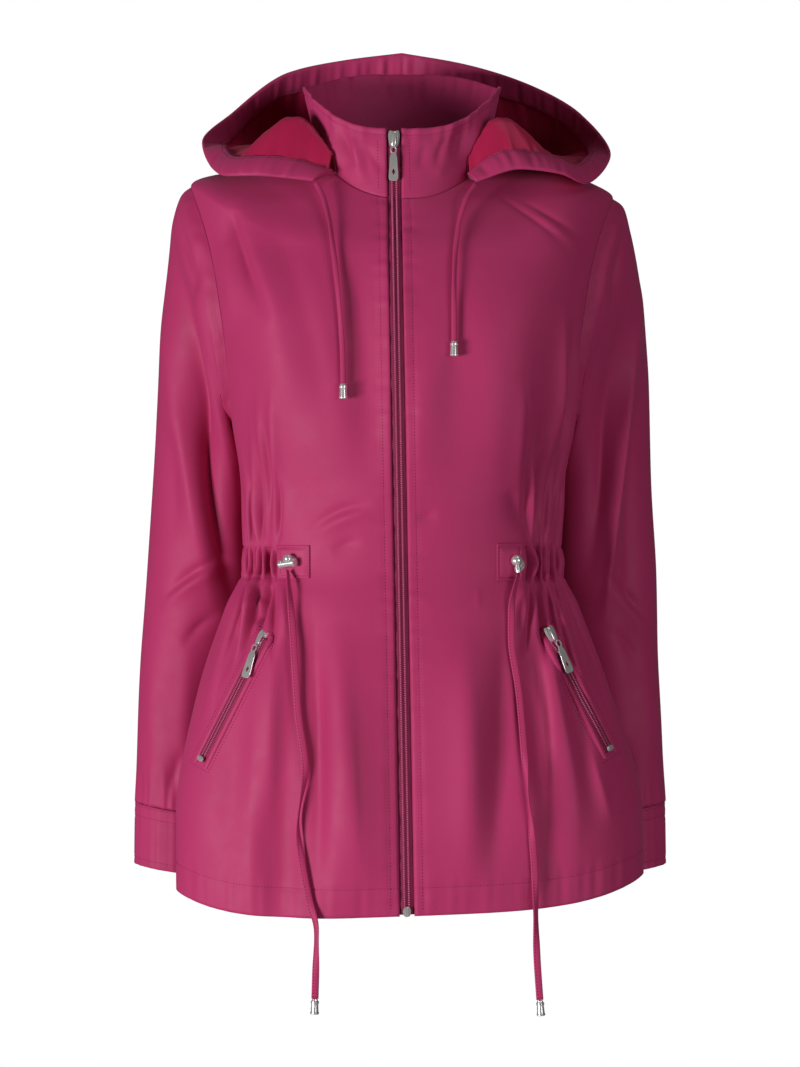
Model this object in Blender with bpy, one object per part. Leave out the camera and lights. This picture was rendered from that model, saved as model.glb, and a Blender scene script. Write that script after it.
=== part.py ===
"""Lightweight hooded jacket in its worn form: every cut and sewn piece is a thin wall."""
import math

import bpy
import numpy as np
from mathutils import Vector
from mathutils.bvhtree import BVHTree

# Metres; +Z up, the front faces -Y, +X is the right side as seen from the front
CLOTH = 0.0012
DOUBLE_CLOTH = 0.0020
LINING = 0.0008
SEAM_GAP = 0.0004
SEAM_U = 0.0008
LAID_GAP = 0.0008
FITTING_GAP = 0.0008

# Colour, roughness and metallic value of each piece, by the start of its name
RASPBERRY, CRIMSON = (0.48, 0.045, 0.156), (0.43, 0.008, 0.045)
MAROON, SILVER = (0.10, 0.008, 0.03), (0.75, 0.74, 0.72)
LOOKS = {"hood_lining": (CRIMSON, 0.40, 0.0), "front_zip_tape": (MAROON, 0.85, 0.0),
         "front_zip_coil": (MAROON, 0.55, 0.0), "front_zip": (SILVER, 0.25, 1.0),
         "pocket_zip": (MAROON, 0.60, 0.0), "pocket": (SILVER, 0.25, 1.0),
         "waist_lock": (SILVER, 0.25, 1.0), "waist_cord_end": (SILVER, 0.25, 1.0),
         "hood_cord_end": (SILVER, 0.25, 1.0), "": (RASPBERRY, 0.55, 0.0)}
SMOOTH_ANGLE = math.radians(40)

# Torso sections from the hem up to the neck seam
SECTION_COLUMNS = ("front_z", "side_z", "back_z", "half_width", "front_y", "side_y", "back_y",
                   "front_power", "back_power", "centre_x", "rise_power")
SECTIONS = np.array((
    (-0.691, -0.668, -0.682, 0.2145, -0.140, -0.045, 0.128, 2.3, 1.45, 0.0075, 4.5),
    (-0.620, -0.602, -0.612, 0.2140, -0.140, -0.042, 0.126, 2.3, 1.45, 0.0065, 3.5),
    (-0.505, -0.495, -0.500, 0.1900, -0.134, -0.030, 0.120, 2.3, 1.6, 0.0020, 2.5),
    (-0.425, -0.420, -0.420, 0.1610, -0.124, -0.018, 0.104, 2.2, 1.8, 0.0005, 2.5),
    (-0.377, -0.377, -0.375, 0.1430, -0.116, -0.010, 0.092, 2.2, 1.9, 0.0, 2.5),
    (-0.315, -0.312, -0.310, 0.1480, -0.126, -0.002, 0.100, 2.2, 2.0, 0.0, 2.5),
    (-0.245, -0.254, -0.240, 0.1570, -0.135, 0.004, 0.110, 2.3, 2.2, 0.0, 2.5),
    (-0.165, -0.145, -0.140, 0.1810, -0.132, 0.006, 0.116, 2.3, 2.4, 0.0, 2.5),
    (-0.100, -0.032, -0.055, 0.1970, -0.116, 0.008, 0.105, 2.0, 2.2, 0.0, 2.5),
    (-0.072, -0.014, -0.012, 0.1400, -0.100, 0.004, 0.090, 2.0, 2.0, 0.0, 2.5),
    (-0.046, -0.002, 0.020, 0.0780, -0.085, 0.000, 0.075, 2.0, 2.0, 0.0, 2.5),
))
SHOULDER_TILT = 0.028
HEM_TILT = 0.035
PROBE_U, PROBE_V = 0.003, 0.02
UNDERARM_ROW, SHOULDER_ROW, NECK_ROW = 6, 8, 10
NECK_FRONT_Z = SECTIONS[NECK_ROW][0]
LOW_ROWS = (0, 0.5, 1, 1.5, 2, 2.5, 3, 3.5, 4, 4.5, 5, 5.5)
HIGH_ROWS = (8.5, 9, 9.5, 10)

# Gathers and folds: u is 0 at the front centre, 0.5 at the side, 1 at the back centre
FOLD_COLUMNS = ("u", "half_u", "top_z", "deep_z", "low_z", "height")
FOLDS = (
    (-0.475, 0.020, -0.270, -0.377, -0.520, 0.0045),
    (-0.435, 0.019, -0.300, -0.377, -0.470, 0.0055),
    (-0.397, 0.019, -0.250, -0.377, -0.560, 0.0060),
    (-0.358, 0.019, -0.310, -0.377, -0.480, 0.0050),
    (-0.225, 0.060, -0.385, -0.640, -0.760, -0.0110),
    (-0.130, 0.050, -0.400, -0.600, -0.760, 0.0050),
    (0.475, 0.020, -0.280, -0.377, -0.500, 0.0050),
    (0.435, 0.019, -0.250, -0.377, -0.560, 0.0060),
    (0.397, 0.019, -0.300, -0.377, -0.480, 0.0055),
    (0.358, 0.019, -0.260, -0.377, -0.520, 0.0050),
    (0.250, 0.050, -0.395, -0.540, -0.720, -0.0090),
    (0.330, 0.035, -0.410, -0.500, -0.640, -0.0060),
    (-0.530, 0.024, -0.280, -0.377, -0.500, 0.0050),
    (-0.590, 0.026, -0.300, -0.377, -0.540, 0.0055),
    (-0.650, 0.026, -0.270, -0.377, -0.480, 0.0045),
    (0.530, 0.024, -0.290, -0.377, -0.480, 0.0050),
    (0.590, 0.026, -0.270, -0.377, -0.540, 0.0055),
    (0.650, 0.026, -0.300, -0.377, -0.500, 0.0045),
    (-0.820, 0.080, -0.400, -0.640, -0.760, -0.0090),
    (0.840, 0.080, -0.400, -0.640, -0.760, -0.0100),
)
PLAIN_COLUMNS = (0.0, 0.04, 0.085, 0.13, 0.18, 0.225, 0.27, 0.31, 0.335)
BACK_PLAIN = (0.70, 0.76, 0.83, 0.91, 1.0)

# Armhole, then the sleeve's rings from it down to the cuff
ARMHOLE_HALF = 0.066
ARMHOLE_Y = 0.006
ARMHOLE_STEPS = 10
SLEEVE_PUFF = np.array((0.006, 0.006, 0.001))
SLEEVE_COLUMNS = ("outer_left", "outer_right", "outer_z", "inner_x", "inner_z",
                  "centre_y", "half_depth", "blend")
SLEEVE = (
    (0.2080, 0.2095, -0.036, 0.1625, -0.2530, 0.006, 0.070, 0.55),
    (0.2155, 0.2145, -0.058, 0.1570, -0.2660, 0.018, 0.070, 0.95),
    (0.2230, 0.2255, -0.120, 0.1505, -0.2900, 0.036, 0.069, 1.0),
    (0.2295, 0.2350, -0.207, 0.1415, -0.3250, 0.052, 0.066, 1.0),
    (0.2363, 0.2375, -0.305, 0.1390, -0.3850, 0.058, 0.062, 1.0),
    (0.2422, 0.2420, -0.390, 0.1480, -0.4400, 0.062, 0.058, 1.0),
    (0.2478, 0.2435, -0.468, 0.1620, -0.5020, 0.065, 0.053, 1.0),
    (0.2508, 0.2468, -0.545, 0.1700, -0.5650, 0.063, 0.047, 1.0),
    (0.2530, 0.2500, -0.6035, 0.1720, -0.6165, 0.061, 0.042, 1.0),
)
CUFF = (
    (0.2531, 0.2501, -0.6042, 0.1720, -0.6172, 0.0610, 0.0420, 1.0),
    (0.2536, 0.2506, -0.6340, 0.1722, -0.6460, 0.0610, 0.0415, 1.0),
    (0.2539, 0.2510, -0.6620, 0.1725, -0.6740, 0.0610, 0.0410, 1.0),
)

# Stand collar, from the neck seam to its top edge
COLLAR_TOP = {"half_width": 0.0925, "front_y": -0.080, "back_y": 0.088,
              "front_z": 0.018, "side_z": 0.0655, "back_z": 0.089, "rise": 3.0}
COLLAR_STEPS = (0.0, 0.34, 0.67, 1.0)
COLLAR_SEGMENTS = 26

# Hood stations from the front corner (first row) to the back centre (last row)
HOOD_COLUMNS = ("neck_u", "left_x", "left_y", "left_z", "right_x", "right_y", "right_z",
                "neck_out", "neck_back", "neck_rise", "mouth_out", "mouth_back", "mouth_rise")
HOOD = np.array((
    (0.27, 0.0810, -0.078, -0.030, 0.0680, -0.080, -0.031, 0.005, -0.006, 0.001, -0.006, 0.006, 0.005),
    (0.33, 0.1264, -0.074, -0.025, 0.1080, -0.076, -0.019, 0.020, 0.000, 0.014, -0.010, 0.022, 0.030),
    (0.40, 0.1600, -0.055, -0.023, 0.1430, -0.066, -0.022, 0.030, 0.002, 0.014, -0.010, 0.024, 0.028),
    (0.46, 0.1750, -0.022, -0.013, 0.1680, -0.045, -0.029, 0.035, 0.008, 0.014, -0.012, 0.020, 0.026),
    (0.52, 0.1880, 0.030, 0.019, 0.1955, 0.015, 0.006, 0.040, 0.025, 0.010, -0.004, 0.012, -0.012),
    (0.62, 0.1600, 0.080, 0.054, 0.1700, 0.070, 0.050, 0.050, 0.075, 0.012, 0.015, 0.040, -0.060),
    (0.75, 0.1100, 0.110, 0.0945, 0.1180, 0.103, 0.084, 0.052, 0.120, -0.045, 0.030, 0.125, -0.120),
    (0.88, 0.0550, 0.134, 0.110, 0.0600, 0.132, 0.106, 0.025, 0.128, -0.155, 0.020, 0.160, -0.240),
    (1.00, 0.0000, 0.142, 0.118, 0.0000, 0.142, 0.118, 0.000, 0.125, -0.205, 0.000, 0.165, -0.300),
))
HOOD_LIFT = 0.0013
HOOD_STANDOFF = 0.0012
CASING_WIDTH = 0.020
CASING_WALL = 0.0030
CASING_GATHER = 0.0008
CASING_GAP = 0.0010
PANEL_SEAMS = (-0.09, 0.16)
HOOD_SEAM_W = 0.0012
HOOD_STEPS = (0.0, 0.05, 0.13, 0.25, 0.36, 0.45, 0.54, 0.63, 0.74, 0.87, 1.0)

# Front zip: its centre line drifts across the front from the collar to the hem
ZIP_TOP = {"x": -0.008, "z": 0.018}
ZIP_FOOT = {"x": 0.0045, "z": -0.691}
CHANNEL_HALF = 0.00725
TAPE_HALF = 0.00680
TAPE_DEPTH = 0.0014
TAPE_WALL = 0.0007
COIL_HALF = 0.0026
COIL_PROUD = 0.0004
COIL_HEIGHT = 0.0014

# Pocket zips: top (slider end) and foot of each, as x and z on the front
POCKET_LEFT = {"top": (-0.125, -0.446), "foot": (-0.180, -0.554), "pull": (-0.17, -1.0)}
POCKET_RIGHT = {"top": (0.133, -0.442), "foot": (0.186, -0.545), "pull": (0.32, -1.0)}
POCKET_HALF = 0.0040
POCKET_WALL = 0.0012

# Waist patches and the cord locks on them
PATCH_LEFT = {"x": (-0.1125, -0.0830), "z": (-0.3905, -0.3605)}
PATCH_RIGHT = {"x": (0.0850, 0.1085), "z": (-0.3925, -0.3590)}
PATCH_WALL = 0.0009
LOCK_LEFT = {"x": -0.0990, "z": -0.3785, "along": (1.0, 0.0), "gap": 0.0008}
LOCK_RIGHT = {"x": 0.0995, "z": -0.3790, "along": (0.0, 1.0), "gap": 0.0014}
LOCK_RADIUS, LOCK_LENGTH, LOCK_EXIT_GAP = 0.0055, 0.0170, 0.0009

# Cord routes: x and z over the front, with the lift of the cord's centre off the cloth
ROUTE_COLUMNS = ("x", "z", "lift")
HOOD_CORD_LEFT = ((-0.0650, -0.0700, 0.0045), (-0.0600, -0.1080, 0.0045), (-0.0560, -0.1480, 0.0045),
                  (-0.0530, -0.1900, 0.0045), (-0.0525, -0.2160, 0.0045))
HOOD_CORD_RIGHT = ((0.0510, -0.0700, 0.0045), (0.0475, -0.1020, 0.0045), (0.0465, -0.1400, 0.0045),
                   (0.0465, -0.1780, 0.0045))
WAIST_CORD_LEFT = ((-0.1005, -0.4100, 0.0055), (-0.0975, -0.4450, 0.0050), (-0.0930, -0.5110, 0.0050),
                   (-0.0865, -0.5610, 0.0050), (-0.0930, -0.6110, 0.0050), (-0.0830, -0.6750, 0.0060),
                   (-0.0760, -0.7035, 0.0060), (-0.0770, -0.7470, 0.0060), (-0.0775, -0.7640, 0.0060))
WAIST_CORD_RIGHT = ((0.0985, -0.4140, 0.0055), (0.0982, -0.4450, 0.0050), (0.1050, -0.4940, 0.0050),
                    (0.1115, -0.5770, 0.0050), (0.1150, -0.6110, 0.0050), (0.1185, -0.6560, 0.0060),
                    (0.1195, -0.7045, 0.0060), (0.1205, -0.7300, 0.0060), (0.1230, -0.7660, 0.0060))

# Where each hood cord leaves the casing, above its route
HOOD_EXIT_LEFT = ((-0.0785, -0.0765, -0.0312), (-0.0715, -0.0860, -0.0450))
HOOD_EXIT_RIGHT = ((0.0675, -0.0785, -0.0322), (0.0575, -0.0890, -0.0480))
CORD_RADIUS = 0.0025
CORD_STEP = 0.012
CORD_HEM_Z = -0.684
CRIMP_HALF, CRIMP_LENGTH = 0.0042, 0.0135

# Pull tab outline, metres below the hinge, and its diamond hole
PULL = {"half_width": 0.0036, "length": 0.0310, "half_wall": 0.0007, "hole_z": -0.0215,
        "hole_half_x": 0.0018, "hole_half_z": 0.0042}
SLIDER = {"half_width": 0.0044, "length": 0.0150, "wall": 0.0036}
SLIDER_GAP = 0.0004
SLIDER_STEP, STOP_ROW = 0.84, 0.06
STOP = {"half_width": 0.0035, "half_height": 0.0045, "wall": 0.002}
POCKET_STOP = {"half_width": 0.0042, "half_height": 0.0025, "wall": 0.002}
HINGE_DROP, HINGE_GAP = 0.0070, 0.0006


def rising_slopes(table):
    """Slopes of a cubic curve through the rows that never overshoots them."""
    step = np.diff(table, axis=0)
    slopes = np.zeros_like(table)
    same_way = step[:-1] * step[1:] > 0
    total = np.where(same_way, step[:-1] + step[1:], 1.0)
    slopes[1:-1] = np.where(same_way, 2 * step[:-1] * step[1:] / total, 0.0)
    slopes[0], slopes[-1] = step[0], step[-1]
    return slopes


SECTION_SLOPES = rising_slopes(SECTIONS)
HOOD_SLOPES = rising_slopes(HOOD)


def row_at(table, slopes, v):
    """The table's row at v, which may lie between two rows."""
    low = min(max(int(v), 0), len(table) - 2)
    t = v - low
    start = (1 + 2 * t) * (1 - t) ** 2
    end = t * t * (3 - 2 * t)
    return (start * table[low] + end * table[low + 1]
            + t * (1 - t) ** 2 * slopes[low] - t * t * (1 - t) * slopes[low + 1])


def unit(vectors):
    """Vectors scaled to length one."""
    return vectors / np.linalg.norm(vectors, axis=-1, keepdims=True)


def ease(t):
    """Smooth hump: one at t = 0, nothing at t = 1 or more."""
    return 0.5 + 0.5 * np.cos(math.pi * np.clip(np.abs(t), 0, 1))


QUARTER = np.linspace(0, math.pi / 2, 49)


def quarter_curve(half_width, end_y, side_y, power):
    """One quarter of a section, from the centre line to the side, with its arc fraction."""
    x = half_width * np.sin(QUARTER) ** (2 / power)
    y = side_y + (end_y - side_y) * np.cos(QUARTER) ** (2 / power)
    arc = np.concatenate(([0], np.cumsum(np.hypot(np.diff(x), np.diff(y)))))
    return x, y, arc


def plain_ring(row, u):
    """Points of one torso section before its folds; u runs once round from -1 to 1."""
    front_z, side_z, back_z, half_width, front_y, side_y, back_y = row[:7]
    front_power, back_power, centre_x, rise_power = row[7:]
    wrapped = (u + 1) % 2 - 1
    q = np.abs(wrapped)
    front_x, front_line, front_arc = quarter_curve(half_width, front_y, side_y, front_power)
    back_x, back_line, back_arc = quarter_curve(half_width, back_y, side_y, back_power)
    front_part = np.clip(q / 0.5, 0, 1) * front_arc[-1]
    back_part = np.clip((1 - q) / 0.5, 0, 1) * back_arc[-1]
    at_front = q <= 0.5
    x = np.where(at_front, np.interp(front_part, front_arc, front_x),
                 np.interp(back_part, back_arc, back_x))
    y = np.where(at_front, np.interp(front_part, front_arc, front_line),
                 np.interp(back_part, back_arc, back_line))
    rise = (x / half_width) ** rise_power
    z = np.where(at_front, front_z + (side_z - front_z) * rise, back_z + (side_z - back_z) * rise)
    return np.stack((x * np.sign(wrapped) + centre_x, y, z), axis=-1)


def fold_height(u, z):
    """How far the folds lift the cloth off the plain section."""
    wrapped = (u + 1) % 2 - 1
    height = np.zeros_like(wrapped)
    for fold_u, half_u, top_z, deep_z, low_z, lift in FOLDS:
        above = (z - deep_z) / (top_z - deep_z)
        below = (z - deep_z) / (low_z - deep_z)
        height += lift * ease((wrapped - fold_u) / half_u) * ease(np.where(z > deep_z, above, below))
    return height


def body(v, u):
    """Points of the torso's outer face on section v."""
    u = np.asarray(u, dtype=float)
    row = row_at(SECTIONS, SECTION_SLOPES, v)
    points = plain_ring(row, u)
    tilt = HEM_TILT * np.clip(1 - v / 2, 0, 1) - SHOULDER_TILT * np.clip((v - UNDERARM_ROW) / 2, 0, 1)
    points[:, 2] += tilt * points[:, 0]
    along = plain_ring(row, u + PROBE_U) - plain_ring(row, u - PROBE_U)
    outward = unit(np.stack((along[:, 1], -along[:, 0], np.zeros(len(u))), axis=-1))
    return points + outward * fold_height(u, points[:, 2])[:, None]


def body_normal(v, u):
    """Outward directions of the torso's face."""
    u = np.asarray(u, dtype=float)
    up = body(min(v + PROBE_V, NECK_ROW), u) - body(max(v - PROBE_V, 0), u)
    round_ring = body(v, u + PROBE_U) - body(v, u - PROBE_U)
    return unit(np.cross(round_ring, up))


def finish(name, data):
    """Link a mesh or curve as an object of its own name, with the material its name starts with."""
    look = next(value for key, value in LOOKS.items() if name.startswith(key))
    colour, roughness, metallic = look
    material = bpy.data.materials.new(name)
    material.use_nodes = True
    shader = material.node_tree.nodes["Principled BSDF"]
    shader.inputs["Base Color"].default_value = (*colour, 1.0)
    shader.inputs["Roughness"].default_value = roughness
    shader.inputs["Metallic"].default_value = metallic
    data.materials.append(material)
    obj = bpy.data.objects.new(name, data)
    bpy.context.scene.collection.objects.link(obj)
    return obj


def add_mesh(name, points, faces, origin=(0.0, 0.0, 0.0)):
    """A mesh object with its faces turned outwards and its origin where given."""
    points = np.asarray(points, dtype=float) - np.asarray(origin)
    volume = 0.0
    for face in faces:
        for second, third in zip(face[1:-1], face[2:]):
            volume += np.dot(points[face[0]], np.cross(points[second], points[third]))
    if volume < 0:
        faces = [tuple(reversed(face)) for face in faces]
    mesh = bpy.data.meshes.new(name)
    mesh.from_pydata([tuple(point) for point in points], [], faces)
    mesh.shade_smooth()
    mesh.set_sharp_from_angle(angle=SMOOTH_ANGLE)
    obj = finish(name, mesh)
    obj.location = origin
    return obj


def wall(name, outer, inner, closed=False, origin=(0.0, 0.0, 0.0)):
    """A solid between two grids of points, open at its edges or closed into a tube."""
    rows, columns = outer.shape[:2]
    count = rows * columns
    spans = columns if closed else columns - 1
    faces = []
    for i in range(rows - 1):
        for j in range(spans):
            k = (j + 1) % columns
            a, b, c, d = i * columns + j, i * columns + k, (i + 1) * columns + k, (i + 1) * columns + j
            for corners in ((a, b, c), (a, c, d)):
                faces.append(corners)
                faces.append(tuple(corner + count for corner in reversed(corners)))
    rims = [[j for j in range(columns)], [(rows - 1) * columns + j for j in range(columns)]]
    for order, rim in zip((1, -1), rims):
        ends = list(zip(rim, rim[1:] + rim[:1]))[:spans]
        for a, b in ends:
            quad = (a, a + count, b + count, b)
            faces.append(quad[::order])
    if not closed:
        for order, column in ((-1, 0), (1, columns - 1)):
            for i in range(rows - 1):
                a, b = i * columns + column, (i + 1) * columns + column
                quad = (a, a + count, b + count, b)
                faces.append(quad[::order])
    return add_mesh(name, np.concatenate((outer.reshape(-1, 3), inner.reshape(-1, 3))), faces, origin)


def grid_normals(points, closed=False):
    """Directions across a grid, from its rows and columns."""
    if closed:
        across = np.roll(points, -1, axis=1) - np.roll(points, 1, axis=1)
    else:
        across = np.gradient(points, axis=1)
    return unit(np.cross(across, np.gradient(points, axis=0)))


def side_z_to_row(z):
    """Section number whose side point lies at height z."""
    steps = np.linspace(UNDERARM_ROW, SHOULDER_ROW, 81)
    heights = [row_at(SECTIONS, SECTION_SLOPES, v)[1] for v in steps]
    return float(np.interp(z, heights, steps))


def armhole_rows():
    """Section numbers up the armhole, and the angle of each on its oval."""
    low, high = SECTIONS[UNDERARM_ROW][1], SECTIONS[SHOULDER_ROW][1]
    angles = np.linspace(math.pi, 0, ARMHOLE_STEPS + 1)
    heights = (low + high) / 2 + (high - low) / 2 * np.cos(angles)
    return [side_z_to_row(z) for z in heights], angles


ARM_ROWS, ARM_ANGLES = armhole_rows()
PANEL_ROWS = list(LOW_ROWS) + ARM_ROWS + list(HIGH_ROWS)


def edge_u(v):
    """Where the front and the back panel end on section v: side seam, armhole or shoulder."""
    if not UNDERARM_ROW < v < SHOULDER_ROW:
        return 0.5, 0.5
    angle = float(np.interp(v, ARM_ROWS, ARM_ANGLES))
    reach = ARMHOLE_HALF * math.sin(angle)
    row = row_at(SECTIONS, SECTION_SLOPES, v)
    _, front_line, front_arc = quarter_curve(row[3], row[4], row[5], row[7])
    _, back_line, back_arc = quarter_curve(row[3], row[6], row[5], row[8])
    front = np.interp(ARMHOLE_Y - reach, front_line, front_arc) / front_arc[-1]
    back = np.interp(-(ARMHOLE_Y + reach), -back_line, back_arc) / back_arc[-1]
    return 0.5 * min(front, 1.0), 1 - 0.5 * min(back, 1.0)


def zip_x(z):
    """The zip's centre line."""
    drop = (z - ZIP_FOOT["z"]) / (ZIP_TOP["z"] - ZIP_FOOT["z"])
    return ZIP_FOOT["x"] + (ZIP_TOP["x"] - ZIP_FOOT["x"]) * drop


def x_to_u(v, x):
    """Section position of a point x to the side of the front centre."""
    row = row_at(SECTIONS, SECTION_SLOPES, v)
    across, _, arc = quarter_curve(row[3], row[4], row[5], row[7])
    reach = x - row[9]
    return math.copysign(0.5 * float(np.interp(abs(reach), across, arc)) / arc[-1], reach)


def front_columns(side):
    """Section positions of a front panel's columns, closer together at the gathers."""
    marks = set(PLAIN_COLUMNS)
    for fold_u, half_u, *_ in FOLDS:
        if 0.34 < fold_u * side < 0.5:
            marks.update((fold_u * side, fold_u * side - half_u))
    return sorted(marks) + [0.5]


def back_columns():
    """Section positions of the back panel's columns, from one side seam to the other."""
    half = [0.5]
    for fold_u, half_u, *_ in FOLDS:
        if 0.5 < fold_u < 0.7:
            half += [fold_u, fold_u + half_u]
    half += list(BACK_PLAIN)
    return half + [2 - u for u in reversed(half[:-1])]


def body_wall(name, rows_of_u):
    """A torso panel through every section, from each section's own positions."""
    outer, inner = [], []
    for v, u in zip(PANEL_ROWS, rows_of_u):
        points = body(v, u)
        outer.append(points)
        inner.append(points - body_normal(v, u) * CLOTH)
    wall(name, np.array(outer), np.array(inner))
    return np.array(outer)


def front_panel(name, side):
    """One front, from the zip's edge to the side seam, armhole and shoulder seam."""
    marks = np.array(front_columns(side)) / 0.5
    rows = []
    for v in PANEL_ROWS:
        front_z = row_at(SECTIONS, SECTION_SLOPES, v)[0]
        start = x_to_u(v, zip_x(front_z) + side * CHANNEL_HALF)
        end = side * (edge_u(v)[0] - SEAM_U)
        rows.append(start + (end - start) * marks)
    return body_wall(name, rows)


def back_panel():
    """The back, from one side seam and armhole to the other."""
    marks = np.array(back_columns()) - 1
    rows = []
    for v in PANEL_ROWS:
        reach = 1 - edge_u(v)[1] - SEAM_U
        rows.append(1 + marks / 0.5 * reach)
    return body_wall("back", rows)


def armhole_ring(side):
    """Armhole edge of the panels and its directions, from the shoulder down the front and up the back."""
    points, normals = [], []
    down = list(zip(ARM_ROWS, ARM_ANGLES))[::-1]
    around = [(v, 0) for v, _ in down] + [(v, 1) for v, _ in down[-2:0:-1]]
    for v, panel in around:
        u = np.array([side * edge_u(v)[panel]])
        points.append(body(v, u)[0])
        normals.append(body_normal(v, u)[0])
    return np.array(points), np.array(normals)


def sleeve_ring(side, row, angles):
    """One ring of a sleeve, from its outer line round the front to its inner line and back."""
    outer_left, outer_right, outer_z, inner_x, inner_z, centre_y, half_depth, _ = row
    outer_x = outer_left if side < 0 else outer_right
    middle = np.array(((outer_x + inner_x) / 2, centre_y, (outer_z + inner_z) / 2))
    reach = np.array(((outer_x - inner_x) / 2, 0, (outer_z - inner_z) / 2))
    depth = np.array((0, -half_depth, 0))
    ring = middle + np.cos(angles)[:, None] * reach + np.sin(angles)[:, None] * depth
    ring = ring * np.array((side, 1, 1))
    low, high = SECTIONS[UNDERARM_ROW][1], SECTIONS[SHOULDER_ROW][1]
    ring[:, 2] -= SHOULDER_TILT * np.clip((ring[:, 2] - low) / (high - low), 0, 1) * ring[:, 0]
    return ring


def seam_start(points, normals, centre):
    """Edge points moved off the panels by the seam's gap, along the panels' own faces."""
    to_centre = centre - points
    to_centre -= normals * np.sum(to_centre * normals, axis=1, keepdims=True)
    return points + unit(to_centre) * SEAM_GAP


def sleeve_rings(side):
    """All rings of one sleeve's outer face, and the panels' directions at the armhole."""
    edge, edge_normals = armhole_ring(side)
    angles = np.concatenate((ARM_ANGLES[::-1], 2 * math.pi - ARM_ANGLES[1:-1]))
    rings = [seam_start(edge, edge_normals, edge.mean(axis=0))]
    for row in SLEEVE:
        ring = sleeve_ring(side, row, angles)
        blend = row[-1]
        rings.append(blend * ring + (1 - blend) * (edge + edge_normals * SLEEVE_PUFF))
    return np.array(rings), edge_normals, angles


def sleeve_and_cuff(side, tag):
    """A set-in sleeve and the cuff sewn to its end."""
    rings, edge_normals, angles = sleeve_rings(side)
    normals = grid_normals(rings, closed=True) * side
    normals[0] = unit(normals[0] + edge_normals)
    wall("sleeve_" + tag, rings, rings - normals * CLOTH, closed=True)
    cuff = np.array([sleeve_ring(side, row, angles) for row in CUFF])
    cuff_normals = grid_normals(cuff, closed=True) * side
    wall("cuff_" + tag, cuff, cuff - cuff_normals * DOUBLE_CLOTH, closed=True)


def collar_top(u):
    """Top edge of the collar above neck position u."""
    top = COLLAR_TOP
    row = (top["front_z"], top["side_z"], top["back_z"], top["half_width"],
           top["front_y"], 0.0, top["back_y"], 2, 2, 0, 1)
    points = plain_ring(row, u)
    share = np.abs(points[:, 0]) / top["half_width"]
    end_z = np.where(points[:, 1] < 0, top["front_z"], top["back_z"])
    points[:, 2] = end_z + (top["side_z"] - end_z) * share ** top["rise"]
    return points


def collar_rows(u, steps):
    """Points of the collar's outer face, from the neck seam up."""
    base = body(NECK_ROW, u)
    normals = body_normal(NECK_ROW, u)
    start = seam_start(base, normals, np.array((0, 0, 0.06)))
    top = collar_top(u)
    return np.array([start + (top - start) * step for step in steps]), normals


def collar():
    """Stand collar, open at the zip."""
    right = x_to_u(NECK_ROW, zip_x(NECK_FRONT_Z) + CHANNEL_HALF)
    left = x_to_u(NECK_ROW, zip_x(NECK_FRONT_Z) - CHANNEL_HALF)
    u = np.linspace(right, 2 + left, COLLAR_SEGMENTS + 1)
    outer, edge_normals = collar_rows(u, COLLAR_STEPS)
    normals = grid_normals(outer)
    normals[0] = unit(normals[0] + edge_normals)
    wall("collar", outer, outer - normals * DOUBLE_CLOTH)


def hood_curve(w, steps=41):
    """Dense curve of the hood from the neck seam to its mouth; w is -1 left, 0 back, 1 right."""
    row = row_at(HOOD, HOOD_SLOPES, (1 - abs(w)) * (len(HOOD) - 1))
    side = -1 if w < 0 else 1
    mirror = np.array((side, 1, 1))
    mouth = np.array(row[1:4] if w < 0 else row[4:7]) * mirror
    u = np.array([side * row[0]])
    down_slope = unit(body(NECK_ROW - 0.1, u)[0] - body(NECK_ROW, u)[0])
    neck = body(NECK_ROW, u)[0] + down_slope * HOOD_STANDOFF + body_normal(NECK_ROW, u)[0] * HOOD_LIFT
    t = np.linspace(0, 1, steps)[:, None]
    return ((1 - t) ** 3 * neck + 3 * t * (1 - t) ** 2 * (neck + row[7:10] * mirror)
            + 3 * t * t * (1 - t) * (mouth + row[10:13] * mirror) + t ** 3 * mouth)


def along_curve(points, fractions_of):
    """Points at lengths along a dense curve; the lengths are worked out from the whole length."""
    arc = np.concatenate(([0], np.cumsum(np.linalg.norm(np.diff(points, axis=0), axis=1))))
    targets = fractions_of(arc[-1])
    return np.stack([np.interp(targets, arc, points[:, axis]) for axis in range(3)], axis=-1)


def hood_grid(ws, fractions_of):
    """Grid of hood points: a row for each step from neck to mouth, a column for each station."""
    return np.array([along_curve(hood_curve(w), fractions_of) for w in ws]).transpose(1, 0, 2)


def shell_lengths(whole):
    """Lengths of the shell's rows, from the neck seam to the casing."""
    return np.array(HOOD_STEPS) * (whole - CASING_WIDTH - CASING_GAP)


def casing_lengths(whole):
    """Lengths of the casing's rows, up to the mouth."""
    return np.linspace(whole - CASING_WIDTH, whole, 3)


def with_midpoints(grid):
    """The grid with a new column halfway between each two."""
    doubled = np.repeat(grid, 2, axis=1)[:, :-1]
    doubled[:, 1::2] = (grid[:, :-1] + grid[:, 1:]) / 2
    return doubled


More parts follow.
